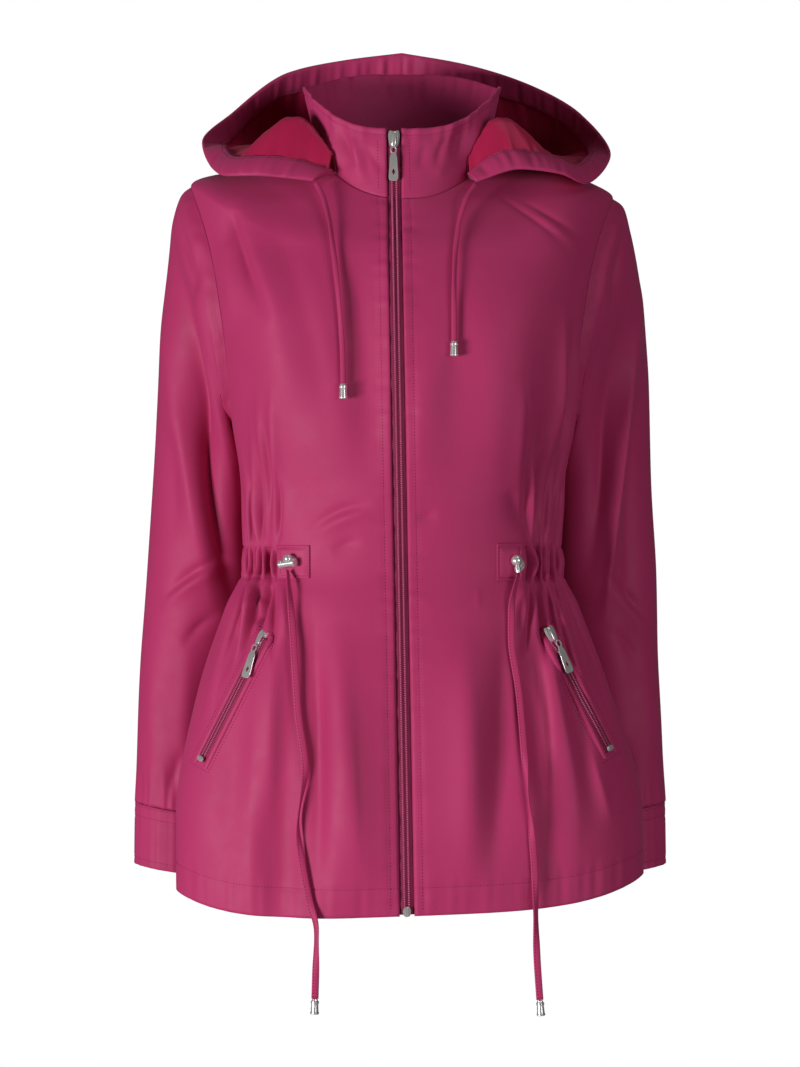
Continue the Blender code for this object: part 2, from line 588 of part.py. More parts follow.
def hood():
    """Three hood panels, the lining inside them and the gathered casing at the mouth."""
    left_seam, right_seam = PANEL_SEAMS
    spans = {"hood_left": np.linspace(-1, left_seam - HOOD_SEAM_W, 14),
             "hood_centre": np.linspace(left_seam + HOOD_SEAM_W, right_seam - HOOD_SEAM_W, 6),
             "hood_right": np.linspace(right_seam + HOOD_SEAM_W, 1, 13)}
    stations = np.concatenate(list(spans.values()))
    shell = hood_grid(stations, shell_lengths)
    inward = grid_normals(shell)
    first = 0
    for name, ws in spans.items():
        part = slice(first, first + len(ws))
        wall(name, shell[:, part], (shell + inward * CLOTH)[:, part])
        first += len(ws)
    lining = shell + inward * (CLOTH + SEAM_GAP)
    wall("hood_lining", lining, lining + inward * LINING)
    band = hood_grid(stations, casing_lengths)
    thick = grid_normals(band) * CASING_WALL
    thick[0] = inward[-1] * CASING_WALL
    gathers = np.zeros(2 * len(stations) - 1)
    gathers[1::2] = CASING_GATHER / CASING_WALL
    outer = with_midpoints(band)
    wall("hood_casing", outer, outer + with_midpoints(thick) * (1 + gathers)[None, :, None])


def cloth_tree(*grids):
    """Search tree over the outer faces of panels, for laying things on them."""
    points, faces = [], []
    for grid in grids:
        rows, columns = grid.shape[:2]
        first = len(points)
        points += [tuple(point) for point in grid.reshape(-1, 3)]
        for i in range(rows - 1):
            for j in range(columns - 1):
                a = first + i * columns + j
                faces += [(a, a + 1, a + columns + 1), (a, a + columns + 1, a + columns)]
    return BVHTree.FromPolygons(points, faces)


def front_point(cloth, x, z, lift=0.0):
    """Point on the fronts at x and z, moved out by lift, and the outward direction there."""
    hit, normal, _, _ = cloth.ray_cast(Vector((x, -1.0, z)), Vector((0.0, 1.0, 0.0)))
    normal = np.array(normal)
    if normal[1] > 0:
        normal = -normal
    return np.array(hit) + normal * lift, normal


def zip_levels():
    """Rows of the front zip from the hem up: a section, or a step up the collar."""
    sections = [0.02] + [0.5 * half for half in range(1, 2 * NECK_ROW)] + [9.97]
    return [(v, None) for v in sections] + [(NECK_ROW, step) for step in (0.08, 0.35, 0.65, 0.93)]


def zip_row(level, offsets):
    """Points and directions across the zip on one row."""
    v, step = level
    if step is None:
        middle = zip_x(row_at(SECTIONS, SECTION_SLOPES, v)[0])
        u = np.array([x_to_u(v, middle + offset) for offset in offsets])
        return body(v, u), body_normal(v, u)
    u = np.array([x_to_u(NECK_ROW, zip_x(NECK_FRONT_Z) + offset) for offset in offsets])
    rows, _ = collar_rows(u, (step - 0.05, step, step + 0.05))
    across = np.gradient(rows[1], axis=0)
    return rows[1], unit(np.cross(across, rows[2] - rows[0]))


def zip_strip(name, offsets, depth, thickness):
    """A strip of the front zip, set below the level of the panels' face."""
    outer, inner = [], []
    for level in zip_levels():
        points, normals = zip_row(level, offsets)
        outer.append(points - normals * depth)
        inner.append(points - normals * (depth + thickness))
    wall(name, np.array(outer), np.array(inner))


def prism(name, outline, frame, near, far):
    """A flat outline in a local frame, thickened from near to far along its third direction."""
    origin, right, up, out = frame
    points = [origin + right * x + up * z + out * depth for depth in (near, far) for x, z in outline]
    count = len(outline)
    faces = [tuple(range(count)), tuple(range(2 * count - 1, count - 1, -1))]
    for j in range(count):
        k = (j + 1) % count
        faces.append((k, j, j + count, k + count))
    return add_mesh(name, points, faces)


def pull_tab(name, frame):
    """A zip's pull tab, hung from the frame's origin, with a diamond hole."""
    half, length, hole_z = PULL["half_width"], PULL["length"], PULL["hole_z"]
    wide, tall = PULL["hole_half_x"], PULL["hole_half_z"]
    edge = ((half * 0.6, 0.0), (half * 0.75, -length * 0.3), (half, -length * 0.62),
            (half * 0.7, -length), (-half * 0.7, -length), (-half, -length * 0.62),
            (-half * 0.75, -length * 0.3), (-half * 0.6, 0.0))
    hole = ((wide * 0.5, hole_z + tall * 0.5), (wide * 0.75, hole_z + tall * 0.25), (wide, hole_z),
            (wide * 0.4, hole_z - tall * 0.6), (-wide * 0.4, hole_z - tall * 0.6), (-wide, hole_z),
            (-wide * 0.75, hole_z + tall * 0.25), (-wide * 0.5, hole_z + tall * 0.5))
    origin, right, up, out = frame
    grids = []
    for depth in (PULL["half_wall"], -PULL["half_wall"]):
        face = origin + out * depth
        grids.append([[face + right * x + up * z for x, z in loop] for loop in (edge, hole)])
    wall(name, np.array(grids[0]), np.array(grids[1]), closed=True, origin=origin)


def slider(name, frame):
    """A zip slider: a wedge that is wider at its top."""
    half, length = SLIDER["half_width"], SLIDER["length"]
    outline = ((-half * 0.7, -length / 2), (half * 0.7, -length / 2), (half, length * 0.15),
               (half * 0.8, length / 2), (-half * 0.8, length / 2), (-half, length * 0.15))
    prism(name, outline, frame, 0.0, SLIDER["wall"])


def barrel(name, centre, axis, radius, length, sides=10):
    """A short round bar with chamfered ends."""
    axis = unit(np.asarray(axis, dtype=float))
    across = unit(np.cross(axis, (0.31, 0.2, 0.93)))
    third = np.cross(axis, across)
    rings = []
    for along, size in ((-0.5, 0.75), (-0.38, 1.0), (0.38, 1.0), (0.5, 0.75)):
        turn = np.arange(sides) * 2 * math.pi / sides
        rings.append(centre + axis * along * length + radius * size
                     * (np.cos(turn)[:, None] * across + np.sin(turn)[:, None] * third))
    faces = [tuple(range(sides)), tuple(range(4 * sides - 1, 3 * sides - 1, -1))]
    for i in range(3):
        for j in range(sides):
            k = (j + 1) % sides
            faces.append((i * sides + k, i * sides + j, (i + 1) * sides + j, (i + 1) * sides + k))
    return add_mesh(name, np.concatenate(rings), faces)


def tangent_frame(point, normal, up_hint):
    """Local right, up and out directions on the cloth."""
    up = np.asarray(up_hint, dtype=float) - normal * np.dot(up_hint, normal)
    up = unit(up)
    return point, np.cross(up, normal), up, normal


def stop_block(name, frame, size):
    """A zip's metal end stop."""
    wide, tall = size["half_width"], size["half_height"]
    outline = ((-wide, -tall), (wide, -tall), (wide, tall), (-wide, tall))
    prism(name, outline, frame, 0.0, size["wall"])


def hinge_point(frame):
    """Where a pull tab hangs: off the lower end of its slider's face."""
    origin, _, up, out = frame
    return origin - up * HINGE_DROP + out * (SLIDER["wall"] + HINGE_GAP + PULL["half_wall"])


def front_zip():
    """Front zip: tape, coil, slider, hanging pull tab and the stop at the hem."""
    zip_strip("front_zip_tape", (-TAPE_HALF, 0.0, TAPE_HALF), TAPE_DEPTH, TAPE_WALL)
    zip_strip("front_zip_coil", (-COIL_HALF, COIL_HALF), -COIL_PROUD, COIL_HEIGHT)
    frames = []
    for level in ((NECK_ROW, SLIDER_STEP), (STOP_ROW, None)):
        points, normals = zip_row(level, (-COIL_HALF, 0.0, COIL_HALF))
        seat = points[1] + normals[1] * (COIL_PROUD + SLIDER_GAP)
        frames.append(tangent_frame(seat, normals[1], (0, 0, 1)))
    slider_frame, stop_frame = frames
    slider("front_zip_slider", slider_frame)
    right, up, out = np.array(((1.0, 0, 0), (0, 0, 1.0), (0, -1.0, 0)))
    pull_tab("front_zip_pull", (hinge_point(slider_frame), right, up, out))
    stop_block("front_zip_stop", stop_frame, STOP)


def laid_strip(cloth, name, start, end, half, thickness, steps=9, columns=3):
    """A strip that lies on a front, from one (x, z) to another."""
    start, end = np.array(start), np.array(end)
    side = np.array((end[1] - start[1], start[0] - end[0]))
    side = side / np.linalg.norm(side)
    outer, inner = [], []
    for t in np.linspace(0, 1, steps):
        centre = start + (end - start) * t
        across = [centre + side * offset for offset in np.linspace(-half, half, columns)]
        marks = [front_point(cloth, x, z) for x, z in across]
        outer.append([point + normal * (LAID_GAP + thickness) for point, normal in marks])
        inner.append([point + normal * LAID_GAP for point, normal in marks])
    wall(name, np.array(outer), np.array(inner))


def pocket(cloth, tag, place):
    """One slanted pocket zip with its slider, hanging pull tab and end stop."""
    laid_strip(cloth, "pocket_zip_" + tag, place["top"], place["foot"], POCKET_HALF, POCKET_WALL)
    along = np.array((place["top"][0] - place["foot"][0], 0, place["top"][1] - place["foot"][1]))
    point, normal = front_point(cloth, *place["top"])
    frame = tangent_frame(point + normal * (LAID_GAP + POCKET_WALL + FITTING_GAP), normal, along)
    slider("pocket_slider_" + tag, frame)
    out = frame[3]
    hinge = hinge_point(frame)
    hang = np.array((-place["pull"][0], 0, -place["pull"][1]))
    _, right, hang_up, _ = tangent_frame(hinge, normal, hang)
    pull_tab("pocket_pull_" + tag, (hinge, right, hang_up, out))
    foot, foot_normal = front_point(cloth, *place["foot"])
    stop = tangent_frame(foot + foot_normal * (LAID_GAP + POCKET_WALL + FITTING_GAP), foot_normal, along)
    stop_block("pocket_stop_" + tag, stop, POCKET_STOP)


def waist_fittings(cloth, tag, patch, lock):
    """Square patch over the waist casing's end and the cord lock on it; gives the cord's exit."""
    (x0, x1), (z0, z1) = patch["x"], patch["z"]
    middle = (x0 + x1) / 2
    laid_strip(cloth, "waist_patch_" + tag, (middle, z1), (middle, z0), (x1 - x0) / 2, PATCH_WALL, 5, 6)
    point, normal = front_point(cloth, lock["x"], lock["z"])
    along, up = lock["along"]
    axis = unit(np.array((along, 0, up)) - normal * np.dot((along, 0, up), normal))
    centre = point + normal * (LAID_GAP + PATCH_WALL + lock["gap"] + LOCK_RADIUS)
    barrel("waist_lock_" + tag, centre, axis, LOCK_RADIUS, LOCK_LENGTH)
    down = -axis if up else np.array((0, 0, -1.0))
    return centre + down * ((LOCK_LENGTH / 2 if up else LOCK_RADIUS) + LOCK_EXIT_GAP)


def cord_route(cloth, head, route):
    """Points along a cord: from its exit, over the cloth, then straight down below the hem."""
    marks = np.array(route)
    slopes = rising_slopes(marks)
    laid = []
    for v in np.linspace(0, len(marks) - 1, 121):
        x, z, lift = row_at(marks, slopes, v)
        point, _ = front_point(cloth, x, max(z, CORD_HEM_Z), lift)
        laid.append((x, point[1], z))
    dense = np.array(laid)
    if head:
        start = np.array((*head, laid[0], laid[8]))
        start_slopes = rising_slopes(start)
        drop = [row_at(start, start_slopes, v) for v in np.linspace(0, len(head), 20)]
        dense = np.concatenate((drop[:-1], dense))
    count = int(round(np.linalg.norm(np.diff(dense, axis=0), axis=1).sum() / CORD_STEP))
    return along_curve(dense, lambda whole: np.linspace(0, whole, count + 1))


def cord(cloth, name, route, head=()):
    """A free cord with a metal crimp on its end."""
    points = cord_route(cloth, head, route)
    curve = bpy.data.curves.new(name, "CURVE")
    curve.dimensions = "3D"
    curve.bevel_depth = CORD_RADIUS
    curve.bevel_resolution = 2
    curve.use_fill_caps = True
    spline = curve.splines.new("POLY")
    spline.points.add(len(points) - 1)
    for target, point in zip(spline.points, points):
        target.co = (*point, 1.0)
    finish(name, curve)
    end = points[-1]
    along = unit(points[-1] - points[-2])
    barrel(name.replace("cord", "cord_end"), end + along * (CRIMP_LENGTH / 2 + SEAM_GAP), along,
           CRIMP_HALF, CRIMP_LENGTH, 6)


def clear_scene():
    """Take away what the startup scene holds."""
    for obj in list(bpy.data.objects):
        bpy.data.objects.remove(obj, do_unlink=True)


def build():
    """Every piece of the jacket."""
    clear_scene()
    cloth = cloth_tree(front_panel("front_left", -1), front_panel("front_right", 1))
    back_panel()
    sleeve_and_cuff(-1, "left")
    sleeve_and_cuff(1, "right")
    collar()
    hood()
    front_zip()
    pocket(cloth, "left", POCKET_LEFT)
    pocket(cloth, "right", POCKET_RIGHT)
    left_exit = waist_fittings(cloth, "left", PATCH_LEFT, LOCK_LEFT)
    right_exit = waist_fittings(cloth, "right", PATCH_RIGHT, LOCK_RIGHT)
    cord(cloth, "hood_cord_left", HOOD_CORD_LEFT, HOOD_EXIT_LEFT)
    cord(cloth, "hood_cord_right", HOOD_CORD_RIGHT, HOOD_EXIT_RIGHT)
    cord(cloth, "waist_cord_left", WAIST_CORD_LEFT, (left_exit,))
    cord(cloth, "waist_cord_right", WAIST_CORD_RIGHT, (right_exit,))


build()
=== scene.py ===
"""Lightweight hooded jacket: cloth, stitching, zips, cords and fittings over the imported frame."""
import math
from collections import namedtuple

import bmesh
import bpy
import numpy as np
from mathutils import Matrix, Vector
from mathutils.bvhtree import BVHTree


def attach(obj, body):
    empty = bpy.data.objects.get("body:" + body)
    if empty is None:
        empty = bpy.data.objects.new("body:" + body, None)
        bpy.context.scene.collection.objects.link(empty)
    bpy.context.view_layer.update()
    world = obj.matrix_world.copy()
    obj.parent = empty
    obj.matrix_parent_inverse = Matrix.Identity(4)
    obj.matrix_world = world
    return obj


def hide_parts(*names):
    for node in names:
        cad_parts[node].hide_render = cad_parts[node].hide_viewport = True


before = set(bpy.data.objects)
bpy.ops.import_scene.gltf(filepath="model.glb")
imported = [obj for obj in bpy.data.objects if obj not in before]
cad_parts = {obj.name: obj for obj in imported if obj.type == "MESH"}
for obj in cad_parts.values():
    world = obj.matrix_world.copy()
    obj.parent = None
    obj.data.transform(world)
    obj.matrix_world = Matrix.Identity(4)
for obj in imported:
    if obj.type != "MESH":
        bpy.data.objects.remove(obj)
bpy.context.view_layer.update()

# Metres; +Z up, the front faces -Y, +X is the right side as seen from the front
CLOTH = 0.0008
DOUBLE_CLOTH = 0.0016
LINING_CLOTH = 0.0005
SEAM_GAP = 0.0004
SEAM_U = 0.0003
SEAM_LAP_U, SEAM_LAP_SUNK = 0.010, 0.0018

# Torso sections from the hem up to the neck seam
Section = namedtuple("Section", ("front_z", "side_z", "back_z", "half_width", "front_y", "side_y", "back_y",
                                 "front_power", "back_power", "centre_x", "rise_power"))
SECTIONS = np.array((
    (-0.691, -0.668, -0.682, 0.2145, -0.140, -0.045, 0.128, 2.3, 1.45, 0.0075, 4.5),
    (-0.620, -0.602, -0.612, 0.2140, -0.140, -0.042, 0.126, 2.3, 1.45, 0.0065, 3.5),
    (-0.505, -0.495, -0.500, 0.1900, -0.134, -0.030, 0.120, 2.3, 1.6, 0.0020, 2.5),
    (-0.425, -0.420, -0.420, 0.1610, -0.124, -0.018, 0.104, 2.2, 1.8, 0.0005, 2.5),
    (-0.377, -0.377, -0.375, 0.1430, -0.116, -0.010, 0.092, 2.2, 1.9, 0.0, 2.5),
    (-0.315, -0.312, -0.310, 0.1480, -0.126, -0.002, 0.100, 2.2, 2.0, 0.0, 2.5),
    (-0.245, -0.254, -0.240, 0.1570, -0.135, 0.004, 0.110, 2.3, 2.2, 0.0, 2.5),
    (-0.165, -0.145, -0.140, 0.1810, -0.132, 0.006, 0.116, 2.3, 2.4, 0.0, 2.5),
    (-0.100, -0.032, -0.055, 0.1970, -0.116, 0.008, 0.105, 2.0, 2.2, 0.0, 2.5),
    (-0.072, -0.014, -0.012, 0.1400, -0.100, 0.004, 0.090, 2.0, 2.0, 0.0, 2.5),
    (-0.046, -0.002, 0.020, 0.0780, -0.085, 0.000, 0.075, 2.0, 2.0, 0.0, 2.5),
))
SHOULDER_TILT = 0.028
HEM_TILT = 0.035
RIGHT_RISE, RISE_X, RISE_REACH_X = 0.006, 0.150, 0.050
RISE_ROW, RISE_ROWS = 7, 1.2
PROBE_U, PROBE_V = 0.003, 0.02
UNDERARM_ROW, SHOULDER_ROW, NECK_ROW = 6, 8, 10
NECK_FRONT_Z = Section(*SECTIONS[NECK_ROW]).front_z
UNDERARM_Z, SHOULDER_Z = Section(*SECTIONS[UNDERARM_ROW]).side_z, Section(*SECTIONS[SHOULDER_ROW]).side_z
ROWS_PER_SECTION, ARMHOLE_ROWS = 24, 34
INNER_COLUMNS, OUTER_COLUMNS, BACK_COLUMNS = 46, 84, 130
STEPS = np.linspace(0, 1, ARMHOLE_ROWS + 1)
ROUNDED = STEPS ** 2 * 0.9 + STEPS * 0.1
PANEL_ROWS = np.concatenate((
    np.linspace(0, UNDERARM_ROW, UNDERARM_ROW * ROWS_PER_SECTION, endpoint=False),
    UNDERARM_ROW + ROUNDED[:-1],
    SHOULDER_ROW - ROUNDED[:0:-1],
    np.linspace(SHOULDER_ROW, NECK_ROW, 2 * ROWS_PER_SECTION + 1)))

# Gathers and folds: u (0 front centre, 0.5 side, 1 back centre), half_u, top_z, deep_z, low_z, height
FOLDS = (
    (-0.475, 0.020, -0.270, -0.377, -0.520, 0.0045),
    (-0.435, 0.019, -0.300, -0.377, -0.470, 0.0055),
    (-0.397, 0.019, -0.250, -0.377, -0.560, 0.0060),
    (-0.358, 0.019, -0.310, -0.377, -0.480, 0.0050),
    (-0.225, 0.060, -0.385, -0.640, -0.760, -0.0110),
    (-0.130, 0.050, -0.400, -0.600, -0.760, 0.0050),
    (0.475, 0.020, -0.280, -0.377, -0.500, 0.0050),
    (0.435, 0.019, -0.250, -0.377, -0.560, 0.0060),
    (0.397, 0.019, -0.300, -0.377, -0.480, 0.0055),
    (0.358, 0.019, -0.260, -0.377, -0.520, 0.0050),
    (0.250, 0.050, -0.395, -0.540, -0.720, -0.0090),
    (0.330, 0.035, -0.410, -0.500, -0.640, -0.0060),
    (-0.530, 0.024, -0.280, -0.377, -0.500, 0.0050),
    (-0.590, 0.026, -0.300, -0.377, -0.540, 0.0055),
    (-0.650, 0.026, -0.270, -0.377, -0.480, 0.0045),
    (0.530, 0.024, -0.290, -0.377, -0.480, 0.0050),
    (0.590, 0.026, -0.270, -0.377, -0.540, 0.0055),
    (0.650, 0.026, -0.300, -0.377, -0.500, 0.0045),
    (-0.820, 0.080, -0.400, -0.640, -0.760, -0.0090),
    (0.840, 0.080, -0.400, -0.640, -0.760, -0.0100),
)
GATHER_HALF_U = 0.03

# Creases placed one by one: x0, z0, x1, z1, sideways bow, half width, height (negative for a trough)
FRONT_CREASES = (
    (-0.125, -0.215, -0.1255, -0.368, 0.002, 0.0050, 0.0048),
    (-0.119, -0.240, -0.1215, -0.364, 0.001, 0.0036, -0.0070),
    (-0.111, -0.212, -0.1144, -0.356, 0.001, 0.0042, 0.0052),
    (-0.083, -0.347, -0.0260, -0.323, 0.005, 0.0032, -0.0028),
    (-0.080, -0.353, -0.0240, -0.331, 0.005, 0.0045, 0.0024),
    (-0.064, -0.368, -0.0360, -0.356, 0.002, 0.0040, -0.0018),
    (-0.160, -0.046, -0.1120, -0.160, -0.006, 0.0060, -0.0075),
    (-0.152, -0.046, -0.1000, -0.165, -0.006, 0.0085, 0.0036),
    (-0.150, -0.062, -0.0920, -0.255, 0.010, 0.0170, 0.0045),
    (-0.126, -0.050, -0.0650, -0.265, 0.010, 0.0150, -0.0034),
    (-0.092, -0.095, -0.0450, -0.300, 0.006, 0.0160, 0.0032),
    (-0.153, -0.053, -0.1610, -0.090, 0.001, 0.0045, -0.0020),
    (-0.168, -0.085, -0.1500, -0.165, 0.004, 0.0080, 0.0026),
    (-0.082, -0.405, -0.0770, -0.680, 0.003, 0.0095, -0.0095),
    (-0.058, -0.430, -0.0300, -0.700, -0.004, 0.0170, 0.0095),
    (-0.108, -0.410, -0.1200, -0.630, -0.003, 0.0120, 0.0075),
    (-0.145, -0.485, -0.1620, -0.655, 0.002, 0.0140, -0.0036),
    (-0.125, -0.382, -0.1500, -0.445, -0.002, 0.0050, 0.0045),
    (-0.118, -0.388, -0.1310, -0.435, -0.002, 0.0036, -0.0048),
    (-0.108, -0.388, -0.1040, -0.450, 0.002, 0.0045, 0.0040),
    (-0.141, -0.424, -0.1240, -0.409, 0.002, 0.0026, 0.0028),
    (-0.137, -0.431, -0.1210, -0.421, 0.001, 0.0024, -0.0022),
    (-0.112, -0.090, -0.1050, -0.310, 0.000, 0.0300, 0.0075),
    (-0.042, -0.070, -0.0300, -0.310, 0.000, 0.0200, -0.0085),
    (0.045, -0.080, 0.0500, -0.330, 0.000, 0.0220, -0.0036),
    (0.106, -0.100, 0.1000, -0.290, 0.000, 0.0280, 0.0045),
    (0.108, -0.205, 0.1165, -0.366, -0.002, 0.0045, 0.0048),
    (0.123, -0.235, 0.1195, -0.368, -0.001, 0.0070, -0.0062),
    (0.096, -0.308, 0.1115, -0.352, 0.001, 0.0055, -0.0030),
    (0.148, -0.140, 0.1270, -0.368, 0.001, 0.0045, 0.0085),
    (0.155, -0.150, 0.1310, -0.368, 0.001, 0.0036, -0.0085),
    (0.162, -0.150, 0.1350, -0.368, 0.001, 0.0042, 0.0085),
    (0.054, -0.430, 0.0600, -0.680, 0.003, 0.0160, 0.0085),
    (0.0935, -0.400, 0.0800, -0.670, 0.003, 0.0110, -0.0065),
    (0.121, -0.415, 0.1310, -0.600, -0.003, 0.0095, -0.0070),
    (0.133, -0.440, 0.1450, -0.655, -0.004, 0.0120, 0.0052),
    (0.166, -0.525, 0.1900, -0.612, -0.002, 0.0042, 0.0022),
    (0.012, -0.310, 0.0430, -0.150, 0.006, 0.0180, 0.0036),
    (0.070, -0.120, 0.0850, -0.330, 0.004, 0.0190, 0.0030),
    (0.012, -0.338, 0.0330, -0.333, 0.001, 0.0032, -0.0016),
    (0.068, -0.398, 0.0685, -0.420, 0.000, 0.0016, 0.0006),
    (0.0855, -0.040, 0.1630, -0.100, 0.002, 0.0024, -0.0015),
    (0.104, -0.043, 0.1740, -0.090, 0.002, 0.0024, -0.0013),
    (0.095, -0.046, 0.1680, -0.096, 0.002, 0.0040, 0.0008),
    (0.116, -0.388, 0.1120, -0.450, -0.001, 0.0045, 0.0045),
    (0.128, -0.386, 0.1500, -0.470, 0.003, 0.0040, 0.0045),
    (0.122, -0.386, 0.1330, -0.450, 0.002, 0.0036, -0.0048),
    (0.138, -0.386, 0.1660, -0.480, 0.004, 0.0040, -0.0042),
)
GATHERS = (
    (-0.1375, -0.290, -0.1380, -0.364, 0.000, 0.0024, -0.0075),
    (-0.1270, -0.255, -0.1290, -0.364, 0.001, 0.0026, -0.0090),
    (-0.1090, -0.285, -0.1135, -0.361, 0.001, 0.0022, -0.0060),
    (-0.1330, -0.225, -0.1335, -0.364, 0.001, 0.0030, 0.0050),
    (-0.1385, -0.358, -0.1380, -0.396, 0.000, 0.0020, -0.0060),
    (-0.1300, -0.358, -0.1295, -0.396, 0.000, 0.0020, -0.0070),
    (-0.1215, -0.358, -0.1210, -0.396, 0.000, 0.0020, -0.0075),
    (-0.1148, -0.360, -0.1145, -0.394, 0.000, 0.0016, -0.0050),
    (-0.1380, -0.388, -0.1640, -0.485, 0.003, 0.0030, -0.0085),
    (-0.1290, -0.388, -0.1465, -0.470, 0.002, 0.0028, -0.0090),
    (-0.1205, -0.388, -0.1310, -0.452, 0.001, 0.0026, -0.0085),
    (-0.1145, -0.390, -0.1140, -0.470, -0.001, 0.0026, -0.0070),
    (-0.1335, -0.388, -0.1560, -0.475, 0.003, 0.0030, 0.0050),
    (0.1070, -0.200, 0.1150, -0.363, 0.000, 0.0032, -0.0136),
    (0.1290, -0.240, 0.1225, -0.363, -0.001, 0.0030, -0.0136),
    (0.1425, -0.225, 0.1300, -0.363, -0.002, 0.0032, -0.0152),
    (0.1560, -0.245, 0.1375, -0.363, -0.002, 0.0032, -0.0128),
    (0.1190, -0.230, 0.1187, -0.363, 0.000, 0.0037, 0.0088),
    (0.1660, -0.150, 0.1340, -0.363, -0.002, 0.0041, 0.0120),
    (0.1145, -0.358, 0.1143, -0.397, 0.000, 0.0021, -0.0096),
    (0.1230, -0.358, 0.1232, -0.397, 0.000, 0.0023, -0.0112),
    (0.1302, -0.358, 0.1300, -0.397, 0.000, 0.0023, -0.0112),
    (0.1377, -0.358, 0.1375, -0.397, 0.000, 0.0023, -0.0096),
    (0.1148, -0.389, 0.1120, -0.465, 0.001, 0.0030, -0.0112),
    (0.1235, -0.389, 0.1340, -0.470, -0.001, 0.0032, -0.0136),
    (0.1302, -0.389, 0.1530, -0.490, -0.003, 0.0034, -0.0144),
    (0.1378, -0.389, 0.1650, -0.500, -0.004, 0.0034, -0.0136),
    (0.1270, -0.389, 0.1430, -0.480, -0.002, 0.0034, 0.0080),
)
BACK_CREASES = (
    (-0.130, -0.060, -0.0500, -0.230, -0.010, 0.0150, 0.0042),
    (-0.090, -0.050, -0.0200, -0.250, -0.008, 0.0150, -0.0034),
    (0.125, -0.055, 0.0600, -0.210, 0.010, 0.0150, 0.0042),
    (0.080, -0.060, 0.0250, -0.260, 0.008, 0.0160, -0.0032),
    (-0.060, -0.290, 0.0550, -0.270, 0.008, 0.0080, -0.0028),
    (-0.040, -0.315, 0.0700, -0.300, -0.006, 0.0090, 0.0030),
    (-0.080, -0.210, -0.0700, -0.372, 0.002, 0.0070, 0.0046),
    (-0.066, -0.250, -0.0580, -0.370, 0.002, 0.0060, -0.0044),
    (0.072, -0.220, 0.0640, -0.372, -0.002, 0.0065, 0.0046),
    (0.058, -0.260, 0.0500, -0.370, -0.001, 0.0060, -0.0040),
    (-0.045, -0.386, -0.0700, -0.640, 0.004, 0.0120, 0.0060),
    (-0.015, -0.386, -0.0260, -0.610, 0.003, 0.0110, -0.0058),
    (0.020, -0.386, 0.0300, -0.660, -0.004, 0.0130, 0.0062),
    (0.052, -0.386, 0.0800, -0.600, -0.003, 0.0100, -0.0056),
    (0.082, -0.390, 0.1200, -0.640, -0.006, 0.0130, 0.0058),
    (-0.090, -0.390, -0.1250, -0.620, 0.006, 0.0120, -0.0050),
    (-0.010, -0.384, -0.0060, -0.440, 0.001, 0.0045, 0.0034),
    (0.036, -0.384, 0.0420, -0.450, 0.001, 0.0045, 0.0034),
)
SLEEVE_CREASES = {
    "left": (
        (-0.221, -0.060, -0.1560, -0.420, 0.000, 0.0075, -0.0190),
        (-0.236, -0.085, -0.1740, -0.440, 0.000, 0.0090, 0.0070),
        (-0.200, -0.100, -0.1500, -0.340, 0.000, 0.0070, 0.0040),
        (-0.208, -0.055, -0.1890, -0.130, -0.002, 0.0026, -0.0048),
        (-0.224, -0.412, -0.1660, -0.372, 0.004, 0.0030, -0.0055),
        (-0.226, -0.421, -0.1680, -0.381, 0.004, 0.0050, 0.0044),
        (-0.206, -0.455, -0.1700, -0.425, 0.003, 0.0034, -0.0036),
        (-0.219, -0.605, -0.2040, -0.548, 0.002, 0.0055, -0.0042),
        (-0.232, -0.600, -0.2320, -0.430, 0.002, 0.0100, 0.0034),
        (-0.206, -0.600, -0.1960, -0.440, 0.003, 0.0100, 0.0036),
        (-0.216, -0.240, -0.2120, -0.360, 0.002, 0.0080, -0.0030),
        (-0.185, -0.085, -0.2060, -0.150, 0.003, 0.0060, -0.0030),
    ),
    "right": (
        (0.226, -0.110, 0.1880, -0.440, 0.000, 0.0036, 0.0095),
        (0.208, -0.130, 0.1720, -0.400, 0.000, 0.0100, -0.0130),
        (0.236, -0.130, 0.2080, -0.450, 0.000, 0.0085, -0.0070),
        (0.206, -0.060, 0.1920, -0.150, 0.002, 0.0026, -0.0042),
        (0.192, -0.386, 0.2370, -0.440, 0.003, 0.0028, -0.0052),
        (0.190, -0.396, 0.2340, -0.451, 0.003, 0.0050, 0.0042),
        (0.196, -0.440, 0.2260, -0.475, 0.002, 0.0034, -0.0034),
        (0.224, -0.180, 0.2180, -0.560, -0.003, 0.0090, -0.0040),
        (0.232, -0.590, 0.2300, -0.460, -0.001, 0.0080, 0.0034),
        (0.214, -0.602, 0.2040, -0.540, -0.002, 0.0060, -0.0040),
        (0.196, -0.080, 0.2080, -0.150, -0.002, 0.0060, -0.0026),
    ),
}
SLEEVE_BACK_CREASES = {
    "left": (
        (-0.160, -0.300, -0.2200, -0.340, -0.004, 0.0060, -0.0046),
        (-0.165, -0.330, -0.2250, -0.375, -0.004, 0.0070, 0.0048),
        (-0.168, -0.400, -0.2240, -0.360, 0.004, 0.0060, -0.0042),
        (-0.200, -0.120, -0.1860, -0.280, 0.004, 0.0100, 0.0050),
        (-0.216, -0.450, -0.2040, -0.600, 0.003, 0.0090, -0.0048),
    ),
    "right": (
        (0.158, -0.310, 0.2200, -0.330, 0.004, 0.0060, -0.0046),
        (0.166, -0.345, 0.2260, -0.390, 0.004, 0.0070, 0.0048),
        (0.170, -0.415, 0.2240, -0.370, -0.004, 0.0060, -0.0042),
        (0.202, -0.130, 0.1900, -0.300, -0.004, 0.0100, 0.0050),
        (0.218, -0.440, 0.2060, -0.600, -0.003, 0.0090, -0.0048),
    ),
}
